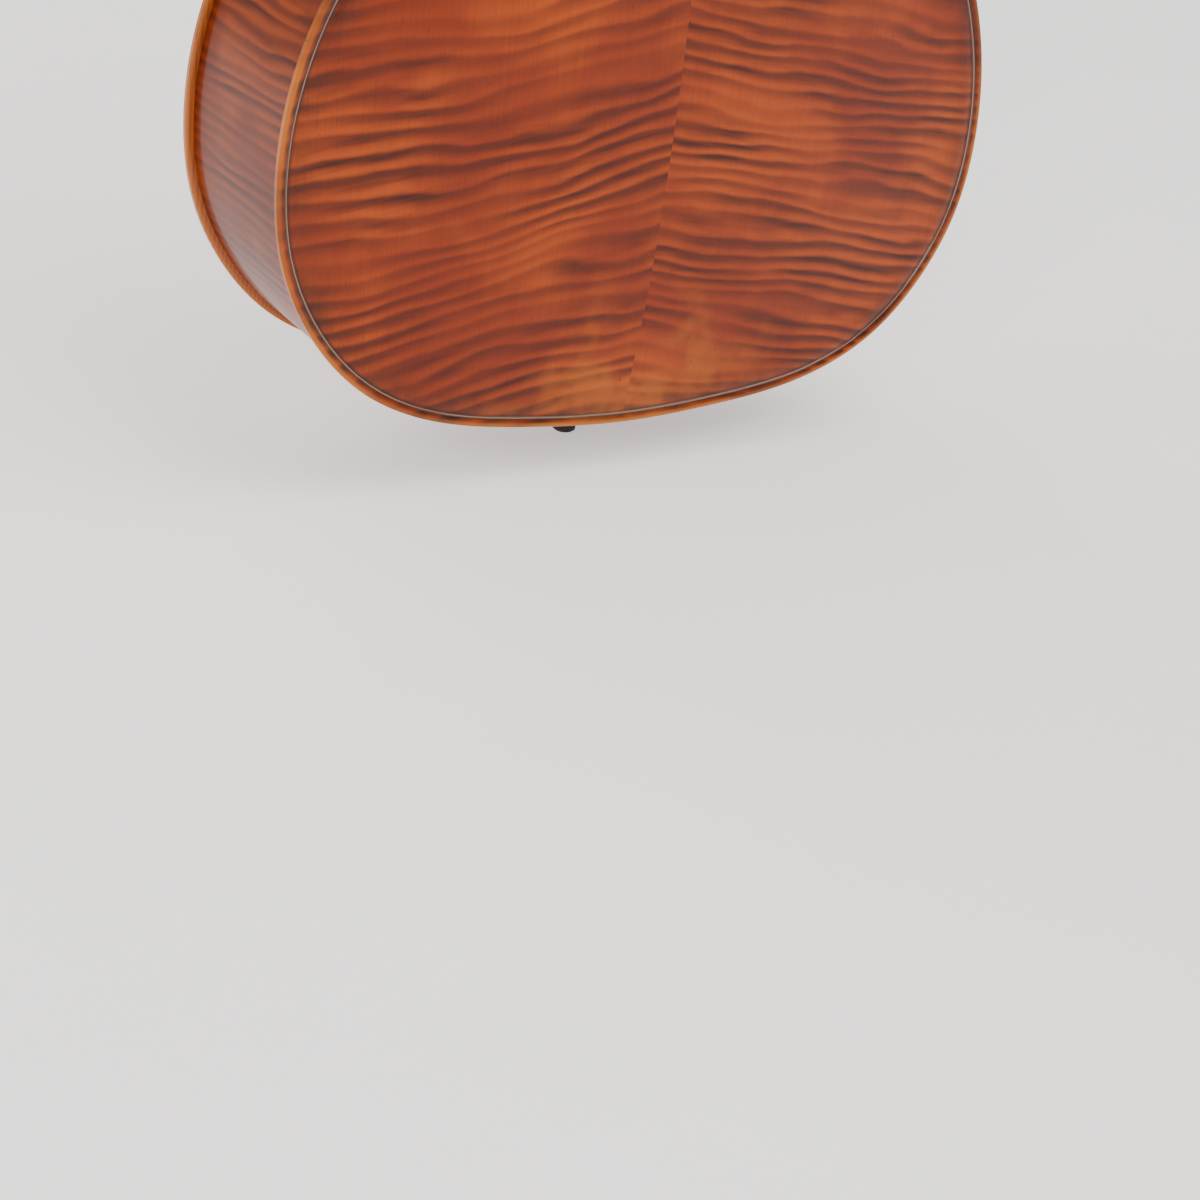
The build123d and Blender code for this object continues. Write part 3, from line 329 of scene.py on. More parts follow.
ebony = dict(light=(0.030, 0.024, 0.020), dark=(0.009, 0.007, 0.006))
finish = {
    "backTreble": mapleVarnish("back treble maple", half=1),
    "backBass": mapleVarnish("back bass maple", half=-1),
    "rib": mapleVarnish("rib maple", along="rib", look=shadedRibMaple),
    "neck": mapleVarnish("neck maple", along="neck"),
    "topTreble": spruceVarnish("top treble spruce", 1),
    "topBass": spruceVarnish("top bass spruce", -1),
    "purfling": inlay("purfling strips", (0.42, 0.16, 0.04)),
    "bareSpruce": plainWood("bare spruce", (0.74, 0.52, 0.29), (0.56, 0.36, 0.18)),
    "bridge": plainWood("bridge maple", (0.70, 0.46, 0.22), (0.42, 0.23, 0.09), (0.35, 0.5, 1.6), rough=0.42),
    "ebony": plainWood("ebony", ebony["light"], ebony["dark"], (1.8, 1.8, 0.07), 0.25, 0.32, 0.1),
    "ebonyCross": plainWood("ebony across", ebony["light"], ebony["dark"], (0.07, 1.8, 1.8), 0.25, 0.30, 0.1),
    "steel": metal("wound steel", (0.62, 0.62, 0.63), 0.30),
    "rod": metal("rod steel", (0.60, 0.60, 0.62), 0.22),
    "nickel": metal("nickel plate", (0.74, 0.73, 0.71), 0.16),
    "brass": metal("brass", (0.80, 0.58, 0.24), 0.24),
    "rubber": plainMatte("rubber", (0.022, 0.022, 0.022), 0.7),
    "cord": plainMatte("cord", (0.016, 0.016, 0.016), 0.55, 4.0),
    "floor": plainMatte("floor", floor["color"], floor["roughness"], 0.01, 0.04,
                        **{"Emission Color": floor["color"], "Emission Strength": floor["glow"]}),
}
print("finishes ready:", len(finish))

# ---- the outline shared by plates, ribs and inlays; all lengths below are in mm

body = dict(bottom=30.0, length=756.0, lower=440.0, middle=232.0, upper=344.0, ribHalf=58.5,
            overhang=4.5, rib=1.6, step=1.6, archMargin=11.0)
lowerLine = [(0.273, 0.0049), (0.545, 0.0185), (0.75, 0.0476), (0.891, 0.0926), (0.968, 0.139),
             (1.0, 0.2077), (0.973, 0.271), (0.909, 0.324), (0.845, 0.361), (0.823, 0.3836), (0.85, 0.4048)]
waistLine = [(1.578, 0.4147), (1.42, 0.4173), (1.255, 0.4286), (1.12, 0.451), (1.03, 0.484), (1.0, 0.5225),
             (1.009, 0.5556), (1.06, 0.5873), (1.155, 0.611), (1.267, 0.625), (1.353, 0.630)]
upperLine = [(0.32, 0.9931), (0.605, 0.9709), (0.802, 0.9365), (0.924, 0.8929), (0.988, 0.8466),
             (1.0, 0.8016), (0.965, 0.7606), (0.901, 0.7103), (0.872, 0.6746), (0.89, 0.6535), (0.936, 0.639)]
archLine = [(0.30, -0.03), (0.53, 0.015), (0.70, 0.05), (0.84, 0.10), (0.93, 0.17), (0.93, 0.245),
            (0.80, 0.345), (0.56, 0.44), (0.475, 0.523), (0.535, 0.60), (0.66, 0.69),
            (0.725, 0.79), (0.70, 0.87), (0.58, 0.935), (0.40, 0.985), (0.22, 1.03)]
spineLine = [(0, 110), (60, 130), (157, 165), (245, 205), (306, 245), (313.5, 252), (324, 290), (395, 395),
             (462, 480), (476, 530), (484, 536), (540, 565), (606, 600), (700, 640), (756, 650)]


def smoothCurve(points, step=0.4):
    # evenly spaced points on the smooth curve through the given ones
    pts = np.array(points, float)
    t = np.concatenate([[0], np.cumsum(np.hypot(*np.diff(pts, axis=0).T))])
    n, h = len(t), np.diff(t)
    bands = np.eye(n)
    right = np.zeros_like(pts)
    for k in range(1, n - 1):
        bands[k, k - 1:k + 2] = h[k - 1], 2 * (h[k - 1] + h[k]), h[k]
        right[k] = 6 * ((pts[k + 1] - pts[k]) / h[k] - (pts[k] - pts[k - 1]) / h[k - 1])
    bend = np.linalg.solve(bands, right)
    at = np.linspace(0, t[-1], int(t[-1] / step) + 2)
    k = np.clip(np.searchsorted(t, at, side="right") - 1, 0, n - 2)
    a, b, w = (t[k + 1] - at)[:, None], (at - t[k])[:, None], h[k][:, None]
    curve = (bend[k] * a ** 3 + bend[k + 1] * b ** 3) / (6 * w)
    curve += (pts[k] / w - bend[k] * w / 6) * a + (pts[k + 1] / w - bend[k + 1] * w / 6) * b
    return curve


def evenly(points, step):
    # the same line divided into equal steps, both ends kept
    points = np.array(points)
    run = np.concatenate([[0], np.cumsum(np.hypot(*np.diff(points, axis=0).T))])
    at = np.linspace(0, run[-1], max(2, int(round(run[-1] / step)) + 1))
    return np.stack([np.interp(at, run, points[:, k]) for k in (0, 1)], axis=1)


def sized(line, width):
    return [(x * width / 2, s * body["length"]) for x, s in line]


def halfOutline(step):
    # treble half of the outline, from the lower to the upper end, and where its corners are
    lower, waist, upper = (sized(line, body[part]) for line, part in (
        (lowerLine, "lower"), (waistLine, "middle"), (upperLine, "upper")))
    both = [smoothCurve([(-x, s) for x, s in line[::-1]] + [end] + line)
            for line, end in ((lower, (0, 0)), (upper, (0, body["length"])))]
    runs = [both[0][both[0][:, 0] >= 0], [lower[-1], waist[0]], smoothCurve(waist), [waist[-1], upper[-1]],
            both[1][both[1][:, 0] >= 0][::-1]]
    runs[0] = np.vstack([[(0, 0)], runs[0]])
    runs[4] = np.vstack([runs[4], [(0, body["length"])]])
    pieces, corners = [], []
    for k, run in enumerate(runs):
        part = evenly(run, step)
        pieces.append(part if k == 4 else part[:-1])
        corners.append(sum(len(p) for p in pieces))
    return np.vstack(pieces), corners[:4]


outline, cornerAt = halfOutline(body["step"])
archHalf = smoothCurve(sized(archLine, body["lower"]))
fine = evenly(outline, body["step"] / 4)
edgeTree = kdtree.KDTree(len(fine))
for k, (x, s) in enumerate(fine):
    edgeTree.insert((x, s, 0), k)
edgeTree.balance()


def share(x, s):
    # how much of the full rise the arch has at a point
    across = min(1.0, abs(x) / np.interp(s, archHalf[:, 1], archHalf[:, 0]))
    middle = body["length"] / 2
    along = min(1.0, abs(s - middle) / (middle - body["archMargin"]))
    return (1 - across ** 2.2) ** 1.35 * (1 - along ** 4) ** 1.2


def toEdge(x, s):
    return edgeTree.find((abs(x), s, 0))[2]


def insetLine(line, amount):
    # the line moved inwards by an amount, mitred where it turns
    before = np.vstack([line[:1] - (line[1:2] - line[:1]) * (1, -1) * -1, line[:-1]])
    before[0] = (-line[1][0], line[1][1])
    after = np.vstack([line[1:], [(-line[-2][0], line[-2][1])]])
    first, second = line - before, after - line
    normals = [np.stack([-d[:, 1], d[:, 0]], 1) / np.maximum(np.hypot(*d.T), 1e-9)[:, None]
               for d in (first, second)]
    middle = normals[0] + normals[1]
    middle /= np.hypot(*middle.T)[:, None]
    stretch = 1 / np.maximum((middle * normals[0]).sum(1), 0.35)
    return line + middle * (amount * stretch)[:, None]

# ---- helpers that turn a bmesh into a finished piece


def piece(name, shape, rides, paint, replaced=(), crease=40.0, recalc=True, values=None):
    # writes a bmesh in mm to an object in m, smooth except across sharp folds
    if recalc:
        bmesh.ops.recalc_face_normals(shape, faces=shape.faces)
    bmesh.ops.scale(shape, vec=(mm, mm, mm), verts=shape.verts)
    data = bpy.data.meshes.new(name)
    shape.to_mesh(data)
    shape.free()
    data.polygons.foreach_set("use_smooth", [True] * len(data.polygons))
    data.set_sharp_from_angle(angle=radians(crease))
    for key, rule in (values or {}).items():
        field = data.attributes.new(key, "FLOAT", "POINT")
        field.data.foreach_set("value", [rule(v.co / mm) * mm for v in data.vertices])
    data.materials.append(paint if isinstance(paint, bpy.types.Material) else finish[paint])
    obj = bpy.data.objects.new(name, data)
    scene.collection.objects.link(obj)
    if replaced:
        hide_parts(*replaced)
    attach(obj, rides)
    return obj


def warpedGrid(columns, rows, place):
    # a grid whose corner (i, k) is put at place(i, k)
    grid = bmesh.new()
    bmesh.ops.create_grid(grid, x_segments=columns, y_segments=rows, size=0.5)
    for vert in grid.verts:
        vert.co = place(round((vert.co.x + 0.5) * columns), round((vert.co.y + 0.5) * rows))
    return grid


# ---- back and top plates

plates = dict(beadWidth=2.2, beadDrop=1.0, channelDepth=1.25, channelAt=6.6, channelWidth=3.4,
              glueBorder=14.0, lowerRound=1.5)
backPlate = dict(side=1, edge=5.0, rise=21.0, thick=4.4, swell=2.0, button=14.5, buttonAt=762.0)
topPlate = dict(side=-1, edge=4.8, rise=21.2, thick=4.2, swell=0.0, button=0, buttonAt=0)
outerSteps = [0, 0.3, 0.7, 1.2, 1.8, 2.5, 3.3, 4.2, 5.2, 6.2, 7.3, 8.6, 10.2, 12.4, 15.2, 19, 24, 30, 38]
farShares = [0.1, 0.2, 0.3, 0.4, 0.5, 0.6, 0.7, 0.8, 0.9, 1.0]
innerSteps = [0, 0.5, 1.5, 14.0, 14.01, 22, 32]


def surface(plate, x, s, distance):
    # height of the worked outer face above the ribs: rounded bead, fluted channel, then the arch
    height = plate["edge"] + plate["rise"] * share(x, s)
    height -= plates["channelDepth"] * exp(-((distance - plates["channelAt"]) / plates["channelWidth"]) ** 2)
    if distance < plates["beadWidth"]:
        height -= plates["beadDrop"] * (1 - distance / plates["beadWidth"]) ** 2.2
    return height


def underside(plate, x, s, distance, inside):
    if inside:
        return plate["edge"] - plate["thick"] + (plate["rise"] - plate["swell"]) * share(x, s)
    return 0.9 * max(0.0, 1 - distance / plates["lowerRound"]) ** 2


def withButton(plate):
    # the outline, with the neck's button added at the top of the back
    if not plate["button"]:
        return outline
    r, at = plate["button"], plate["buttonAt"]
    kept = outline[(outline[:, 0] > r) | (outline[:, 1] < at / 2)]
    arc = [(r * cos(a), at + r * sin(a)) for a in np.linspace(0, pi / 2, 16)]
    return np.vstack([kept, arc])


def halfPlate(plate, hand):
    line = withButton(plate)
    tree = kdtree.KDTree(len(line) * 3)
    for k, (x, s) in enumerate(evenly(line, body["step"] / 3)[: len(line) * 3]):
        tree.insert((x, s, 0), k)
    tree.balance()
    spine = np.interp(line[:, 1], *zip(*spineLine))
    loop = [(d, "in") for d in farShares[::-1]] + [(d, "under") for d in innerSteps[::-1]]
    loop += [(d, "over") for d in outerSteps] + [(d, "out") for d in farShares]
    found = {}

    def place(i, k):
        at, kind = loop[i]
        (x, s), middle = line[k], spine[k]
        reach = hypot(x, s - middle)
        near = innerSteps[-1] if kind in ("in", "under") else outerSteps[-1]
        run = at if kind in ("over", "under") else near + (reach - near) * at
        t = min(run / reach, 1.0)
        px, ps = x * (1 - t), s + (middle - s) * t
        distance = tree.find((px, ps, 0))[2] if at else 0.0
        if kind in ("over", "out"):
            height = surface(plate, px, ps, distance)
        else:
            height = underside(plate, px, ps, distance, kind == "in" or at > plates["glueBorder"])
        found[(round(px * hand, 2), round(ps, 2), round(height, 2))] = distance
        return hand * px, plate["side"] * (body["ribHalf"] + height), body["bottom"] + ps

    shell = warpedGrid(len(loop) - 1, len(line) - 1, place)
    bmesh.ops.remove_doubles(shell, verts=shell.verts, dist=0.0008)
    rim = [e for e in shell.edges if e.is_boundary]
    bmesh.ops.holes_fill(shell, edges=rim, sides=0)
    return shell, tree


def edgeRule(tree):
    return lambda co: tree.find((abs(co.x), co.z - body["bottom"], 0))[2]


soundHole = dict(bridgeAt=354.0, upperEye=(52, 44, 5.5), lowerEye=(106, -40, 7.5), notch=2.3,
                 line=[(51, 50, 1.6), (56, 64, 1.7), (66, 69, 2.2), (74, 58, 3.0), (77.5, 30, 3.7),
                       (80.5, 0, 3.9), (84, -30, 3.7), (89, -55, 3.0), (97, -66, 2.2), (105, -61, 1.7),
                       (109, -47, 1.6)])


def cutter(points, hand, front, depth):
    # upright prism through the top plate, over a closed line of (x, s) points
    made = bmesh.new()
    base = body["bottom"] + soundHole["bridgeAt"]
    verts = [made.verts.new((hand * x, -front, base + s)) for x, s in points]
    face = made.faces.new(verts)
    grown = bmesh.ops.extrude_face_region(made, geom=[face])
    far = [v for v in grown["geom"] if isinstance(v, bmesh.types.BMVert)]
    bmesh.ops.translate(made, vec=(0, depth, 0), verts=far)
    bmesh.ops.recalc_face_normals(made, faces=made.faces)
    data = bpy.data.meshes.new("cutter")
    made.to_mesh(data)
    made.free()
    return data


def soundHoleCutters(hand):
    line = np.array(soundHole["line"], float)
    middle = smoothCurve(line[:, :2], 2.0)
    widths = smoothCurve(np.column_stack([line[:, 1] * 0 + line[:, 2] * 8, np.arange(len(line)) * 14.0]), 1.0)
    share = np.linspace(0, 1, len(middle))
    half = np.interp(share, np.linspace(0, 1, len(widths)), widths[:, 0]) / 8
    along = np.gradient(middle, axis=0)
    along /= np.hypot(*along.T)[:, None]
    side = np.stack([-along[:, 1], along[:, 0]], 1) * half[:, None]
    ribbon = np.vstack([middle + side, (middle - side)[::-1]])
    turn = np.linspace(0, 2 * pi, 40, endpoint=False)
    eyes = [[(x + r * cos(a), s + r * sin(a)) for a in turn]
            for x, s, r in (soundHole["upperEye"], soundHole["lowerEye"])]
    notch, at = soundHole["notch"], soundHole["line"][5][0]
    diamond = [(at - 3.0 * notch, 0), (at, notch * 0.8), (at + 3.0 * notch, 0), (at, -notch * 0.8)]
    return [cutter(loop, hand, 110 + k, 60) for k, loop in enumerate([ribbon, *eyes, diamond])]


def carved(shell, cutters):
    # the bmesh with closed cutters taken out of it
    data = bpy.data.meshes.new("blank")
    shell.to_mesh(data)
    shell.free()
    blank = bpy.data.objects.new("blank", data)
    scene.collection.objects.link(blank)
    tools = bpy.data.collections.new("tools")
    scene.collection.children.link(tools)
    for mesh in cutters:
        tools.objects.link(bpy.data.objects.new("tool", mesh))
    cut = blank.modifiers.new("cut", "BOOLEAN")
    cut.operation, cut.solver, cut.operand_type, cut.collection = "DIFFERENCE", "EXACT", "COLLECTION", tools
    bpy.context.view_layer.update()
    result = bmesh.new()
    result.from_mesh(blank.evaluated_get(bpy.context.evaluated_depsgraph_get()).to_mesh())
    bmesh.ops.remove_doubles(result, verts=result.verts, dist=0.001)
    bmesh.ops.dissolve_degenerate(result, edges=result.edges, dist=0.001)
    for obj in [blank, *tools.objects]:
        used = obj.data
        bpy.data.objects.remove(obj)
        bpy.data.meshes.remove(used)
    bpy.data.collections.remove(tools)
    return result


def makePlate(plate, name, hand, paint, node, cutters=()):
    shell, tree = halfPlate(plate, hand)
    bmesh.ops.recalc_face_normals(shell, faces=shell.faces)
    if cutters:
        shell = carved(shell, cutters)
    return piece(name, shell, "body", paint, [node], values={"edge": edgeRule(tree)})


for hand, word in ((1, "Treble"), (-1, "Bass")):
    makePlate(backPlate, "back" + word, hand, "back" + word, "back_half_" + word.lower())
    makePlate(topPlate, "top" + word, hand, "top" + word, "top_half_" + word.lower(),
              soundHoleCutters(hand))
print("plates made")


def purflingStrip(name, plate, node):
    # the inlay follows the worked surface just proud of it
    strip = bmesh.new()
    strip.from_mesh(frame["nodes"][node].data)
    bmesh.ops.scale(strip, vec=(1 / mm,) * 3, verts=strip.verts)
    bmesh.ops.remove_doubles(strip, verts=strip.verts, dist=0.001)
    middle = body["ribHalf"] + plate["edge"] - 1.0
    for vert in strip.verts:
        s = vert.co.z - body["bottom"]
        height = surface(plate, vert.co.x, s, toEdge(vert.co.x, s))
        proud = 0.03 if abs(vert.co.y) > middle else -0.6
        vert.co.y = plate["side"] * (body["ribHalf"] + height + proud)
    across = lambda co: (toEdge(co.x, co.z - body["bottom"]) - 4.8) / 1.4 / mm
    return piece(name, strip, "body", "purfling", [node], 60.0, True, {"across": across})


purflingStrip("backPurfling", backPlate, "back_purfling")
purflingStrip("topPurfling", topPlate, "top_purfling")

# ---- ribs

ribLevels = [-58.5, -58.2, -30, 0, 30, 58.2, 58.5]


def ribStrip(name, node, first, last, hand):
    line = insetLine(outline, body["overhang"])
    tips = [(cornerAt[0] + cornerAt[1]) // 2, (cornerAt[2] + cornerAt[3]) // 2]
    ends = {0: 0, 1: tips[0], 2: tips[1], 3: len(line) - 1}
    part = line[ends[first]:ends[last] + 1]
    inner = insetLine(line, body["rib"])[ends[first]:ends[last] + 1]
    run = np.concatenate([[0], np.cumsum(np.hypot(*np.diff(part, axis=0).T))])
    levels = [(part, y) for y in ribLevels] + [(inner, y) for y in ribLevels[::-1]] + [(part, ribLevels[0])]

    def place(i, k):
        points, y = levels[i]
        return hand * points[k][0], y, body["bottom"] + points[k][1]

    strip = warpedGrid(len(levels) - 1, len(part) - 1, place)
    bmesh.ops.remove_doubles(strip, verts=strip.verts, dist=0.001)
    bmesh.ops.holes_fill(strip, edges=[e for e in strip.edges if e.is_boundary], sides=0)
    guide = kdtree.KDTree(len(part))
    for k, (x, s) in enumerate(part):
        guide.insert((x, s, 0), k)
    guide.balance()
    along = lambda co: run[guide.find((abs(co.x), co.z - body["bottom"], 0))[1]] + ends[first] * 3.1
    return piece(name, strip, "body", "rib", [node], 50.0, True, {"run": along})


for hand, word in ((1, "Treble"), (-1, "Bass")):
    for k, bout in enumerate(("lower", "middle", "upper")):
        ribStrip(f"rib{bout.capitalize()}{word}", f"rib_{bout}_{word.lower()}", k, k + 1, hand)
print("ribs made")

# ---- neck, pegbox and scroll; u runs up the neck from the nut, v towards the front

neck = dict(angle=9.2, length=280.0, glue=-85.3, nutWidth=31.0, boardWidth=64.0, boardLength=580.0,
            root=12.0, rootTop=751.5, rootHalf=21.0)
up = Vector((0, sin(radians(neck["angle"])), cos(radians(neck["angle"]))))
off = Vector((0, -cos(radians(neck["angle"])), sin(radians(neck["angle"]))))
nutAt = Vector((0, neck["glue"], body["bottom"] + body["length"])) + up * neck["length"]


def atNeck(u, v, x=0.0):
    return nutAt + up * u + off * v + Vector((x, 0, 0))


def boardHalf(u):
    return (neck["nutWidth"] + (neck["boardWidth"] - neck["nutWidth"]) * -u / neck["boardLength"]) / 2


def neckSide(y, s):
    # u and v of a point of the side view given in body coordinates
    away = Vector((0, y, body["bottom"] + s)) - nutAt
    return away.dot(up), away.dot(off)


def smoothRows(rows, steps):
    # rows of numbers with steps smooth rows added between each two
    rows = np.array(rows, float)
    padded = np.vstack([rows[:1], rows, rows[-1:]])
    made = []
    for k in range(1, len(padded) - 2):
        a, b, c, d = padded[k - 1:k + 3]
        for t in np.arange(steps) / steps:
            made.append((2 * b + (c - a) * t + (2 * a - 5 * b + 4 * c - d) * t ** 2
                         + (3 * b - a - 3 * c + d) * t ** 3) / 2)
    return np.array(made + [rows[-1]])


def joined(shape, other):
    # adds a bmesh to another and frees it
    data = bpy.data.meshes.new("joined")
    other.to_mesh(data)
    other.free()
    shape.from_mesh(data)
    bpy.data.meshes.remove(data)


def closedLoft(rows, count, place):
    # a tube through closed loops of count corners, both ends filled; place(row, k) gives a corner
    tube = warpedGrid(count, len(rows) - 1, lambda i, k: place(rows[k], i % count))
    bmesh.ops.remove_doubles(tube, verts=tube.verts, dist=0.0005)
    bmesh.ops.holes_fill(tube, edges=[e for e in tube.edges if e.is_boundary], sides=0)
    return tube


handle = dict(sections=[(7, 0, 0, 15.6, 18.3), (-60, 0, 0, 0, 18.8), (-130, 0, 0, 0, 19.6),
                        (-205, 0, 0, 0, 21.3), (-243, 0, 20, 0, 30.0), (-284.6, 0, 52, 0, 46.0)],
              heel=[(-38, 21.0, 30.5), (8, 17.5, 26.5), (58.5, 14.3, 24.8)],
              shape=[(1, 0), (1, 0.10), (0.985, 0.22), (0.95, 0.38), (0.89, 0.54), (0.80, 0.68), (0.68, 0.80),
                     (0.52, 0.90), (0.35, 0.96), (0.17, 0.99), (0, 1)])


def handleLoop():
    right = handle["shape"]
    return [*right, *[(-x, d) for x, d in right[-2::-1]], (-0.5, 0), (0, 0), (0.5, 0)]


def neckHandle():
    first = [(u, v, lean, half or boardHalf(u), deep) for u, v, lean, half, deep in handle["sections"]]
    last = [(*neckSide(y, neck["rootTop"]), 90 + neck["angle"], half, deep)
            for y, half, deep in handle["heel"]]
    loop = handleLoop()

    def place(row, k):
        u, v, lean, half, deep = row
        x, d = loop[k]
        way = radians(lean)
        return atNeck(u + deep * d * sin(way), v - deep * d * cos(way), half * x)

    return closedLoft(smoothRows(first + last, 7), len(loop), place)


def neckRoot():
    # the block of the neck let into the top of the body
    low, high, half = neck["rootTop"] - neck["root"], neck["rootTop"] + 0.4, neck["rootHalf"]
    rows = []
    for s in (low, high):
        front = nutAt.y + (body["bottom"] + s - nutAt.z) * tan(radians(neck["angle"])) + 0.1
        corners = ((-half, front), (half, front), (14, 57), (-14, 57))
        rows.append([(x, y, body["bottom"] + s) for x, y in corners])
    return closedLoft(rows, 4, lambda row, k: row[k])


head = dict(stations=[(-8, -2, -8, -18, 15.0), (2, -0.6, 0, -25, 15.7), (8, -2.6, 5.5, -34.5, 16.8),
                      (10.5, -5.6, 11, -41, 18.6), (13.5, -6.8, 15.5, -43.6, 20.4), (20, -8.8, 23, -46.2, 22.0),
                      (30, -11.6, 32, -48.8, 22.7), (50, -17.3, 51, -54.3, 21.9), (75, -24.4, 77, -62.8, 20.3),
                      (95, -30, 97, -70.3, 19.1), (106, -33.6, 109, -76, 18.3), (113, -37.5, 119, -80.6, 17.7),
                      (119, -43, 129, -84.0, 17.2), (124, -50, 139, -86.2, 17.0)],
            troughFrom=11.5, troughTo=110.0, troughHalf=(14.0, 9.2), fluteDepth=1.5,
            floor=[(9, -30), (30, -37), (50, -43), (75, -51), (100, -60), (108, -58), (114, -40)])


def pegboxLoop(row):
    # closed section as (x, share of the way from front to back): outside right, back, left, then the trough
    fu, fv, bu, bv, half = row
    deep = hypot(fu - bu, fv - bv)
    inside = head["troughFrom"] < fu < head["troughTo"]
    flute = head["fluteDepth"] * min(1.0, max(0.0, (fu - 14) / 30)) / deep
    wall = np.interp(fu, (head["troughFrom"], head["troughTo"]), head["troughHalf"])
    cut = (fv - np.interp(fu, *zip(*head["floor"]))) / deep if inside else 0.012
    right = [(half - 0.9, 0.0), (half - 0.25, 0.012), (half, 0.04), (half, 0.35), (half * 0.995, 0.65),
             (half * 0.965, 0.86), (half * 0.90, 0.955), (half * 0.82, 0.99), (half * 0.74, 1.0 - flute * 0.2),
             (half * 0.58, 1.0 - flute), (half * 0.40, 1.0 - flute * 1.15), (half * 0.22, 1.0 - flute * 0.9),
             (half * 0.08, 1.0 - flute * 0.1)]
    inner = [(wall + 0.8, 0.0), (wall + 0.1, 0.012), (wall * 0.98, cut * 0.5 + 0.01), (wall * 0.93, cut),
             (wall * 0.45, cut + 0.004)]
    left = [(-x, d) for x, d in right[::-1]]
    return [*right, (0, 1.0), *left, *[(-x, d) for x, d in inner], (0, cut + 0.006), *inner[::-1]]


def pegbox():
    rows = smoothRows(head["stations"], 5)
    for at in (head["troughFrom"], head["troughTo"]):
        for u in (at - 0.02, at + 0.02):
            new = [np.interp(u, rows[:, 0], rows[:, k]) for k in range(5)]
            rows = np.vstack([rows[rows[:, 0] < u], [new], rows[rows[:, 0] >= u]])
    rows = [(row, pegboxLoop(row)) for row in rows]

    def place(row, k):
        (fu, fv, bu, bv, half), loop = row
        x, d = loop[k]
        return atNeck(fu + (bu - fu) * d, fv + (bv - fv) * d, x)

    return closedLoft(rows, len(rows[0][1]), place)


volute = dict(u=151.0, v=-55.5, start=-123.7, radius=35.0, decay=0.0868, turns=2.5, perTurn=56,
              halfWidths=[(0, 17.0), (0.35, 16.6), (0.7, 17.6), (1.0, 20.5), (1.5, 25.0), (2.0, 28.6), (2.5, 31.5),
                          (3.6, 33.0)],
              hollow=2.6, flute=1.3, rimSteps=24, ribbonSteps=9)


def voluteRadius(turns):
    return volute["radius"] * exp(-volute["decay"] * 2 * pi * min(turns, volute["turns"] + 0.55))


def voluteHalf(turns):
    return float(np.interp(min(turns, volute["turns"] + 1), *zip(*volute["halfWidths"])))


def volutePoint(turns, radius, x):
    angle = radians(volute["start"]) + 2 * pi * turns
    return atNeck(volute["u"] + radius * cos(angle), volute["v"] + radius * sin(angle), x)


def scroll():
    # a rim with two flutes, and on each side a hollowed ribbon that climbs a step with every turn to the eye
    per, total = volute["perTurn"], int(round(volute["turns"] * volute["perTurn"]))
    steps = volute["rimSteps"]

    def rimPlace(i, k):
        turns, t = k / per, 2 * i / steps - 1
        half = voluteHalf(turns)
        groove = volute["flute"] * sin(pi * min(1.0, abs(t) / 0.86)) ** 2 * (abs(t) < 0.86)
        return volutePoint(turns, voluteRadius(turns) - groove, half * t)

    made = warpedGrid(steps, per, rimPlace)
    climb = volute["ribbonSteps"]
    for hand in (1, -1):
        def ribbonPlace(i, k, hand=hand):
            turns = k / per
            outer, inner = voluteRadius(turns), voluteRadius(turns + 1)
            half, above = voluteHalf(turns), voluteHalf(turns + 1)
            if i == climb:
                return volutePoint(turns, inner, hand * above)
            t = i / (climb - 1)
            bowl = sin(pi * t ** 0.8) ** 1.2 if 0 < t < 1 else 0.0
            sunk = volute["hollow"] * bowl * min(1.0, (outer - inner) / 9)
            return volutePoint(turns, outer + (inner - outer) * t, hand * (half - sunk))
        joined(made, warpedGrid(climb, total, ribbonPlace))
    bmesh.ops.remove_doubles(made, verts=made.verts, dist=0.002)
    rims = [e for e in made.edges if e.is_boundary]
    bmesh.ops.holes_fill(made, edges=rims, sides=0)
    return made


wood = neckHandle()
for part in (neckRoot(), pegbox(), scroll()):
    joined(wood, part)
piece("neckAndScroll", wood, "body", "neck", ["neck"], 32.0)
print("neck and scroll made")

# ---- pegs, string windings, fine tuner heads and the clamp screw

pegs = dict(places={"c": (24, -26, -1, 0.78, 4.5), "a": (50, -33, 1, 0.35, 3.0),
                    "g": (76, -40.5, -1, 0.57, 1.5), "d": (100, -48, 1, 0.45, 1.0)},
            radius=6.65, taper=1 / 34, windLength=8.0, turnSides=30,
            collar=[(5.6, 6.5), (5.9, 7.6), (6.5, 8.4), (7.4, 8.5), (8.2, 8.2), (8.6, 7.2), (9.2, 7.0), (9.6, 6.2),
                    (11.0, 5.2), (13.5, 4.6), (16, 4.5), (18.5, 4.8), (20.5, 5.4)],
            thumb=dict(out=29.0, radius=13.0, thick=4.2, pip=3.2))


def spun(profile, sides, place):
    # closed solid of revolution; profile runs from axis to axis, place(along, a, b) gives a corner
    made = warpedGrid(sides, len(profile) - 1, lambda i, k: place(
        profile[k][0], profile[k][1] * cos(2 * pi * i / sides), profile[k][1] * sin(2 * pi * i / sides)))
    bmesh.ops.remove_doubles(made, verts=made.verts, dist=0.0005)
    return made


def pegPlace(string):
    u, v, sign, _, _ = pegs["places"][string]
    return lambda along, a, b: atNeck(u + a, v + b, sign * along)


def cheek(string):
    return 23.0 - 6.0 * (pegs["places"][string][0] - 28) / 102


def shaftRadius(string, along):
    return pegs["radius"] - (cheek(string) - along) * pegs["taper"]


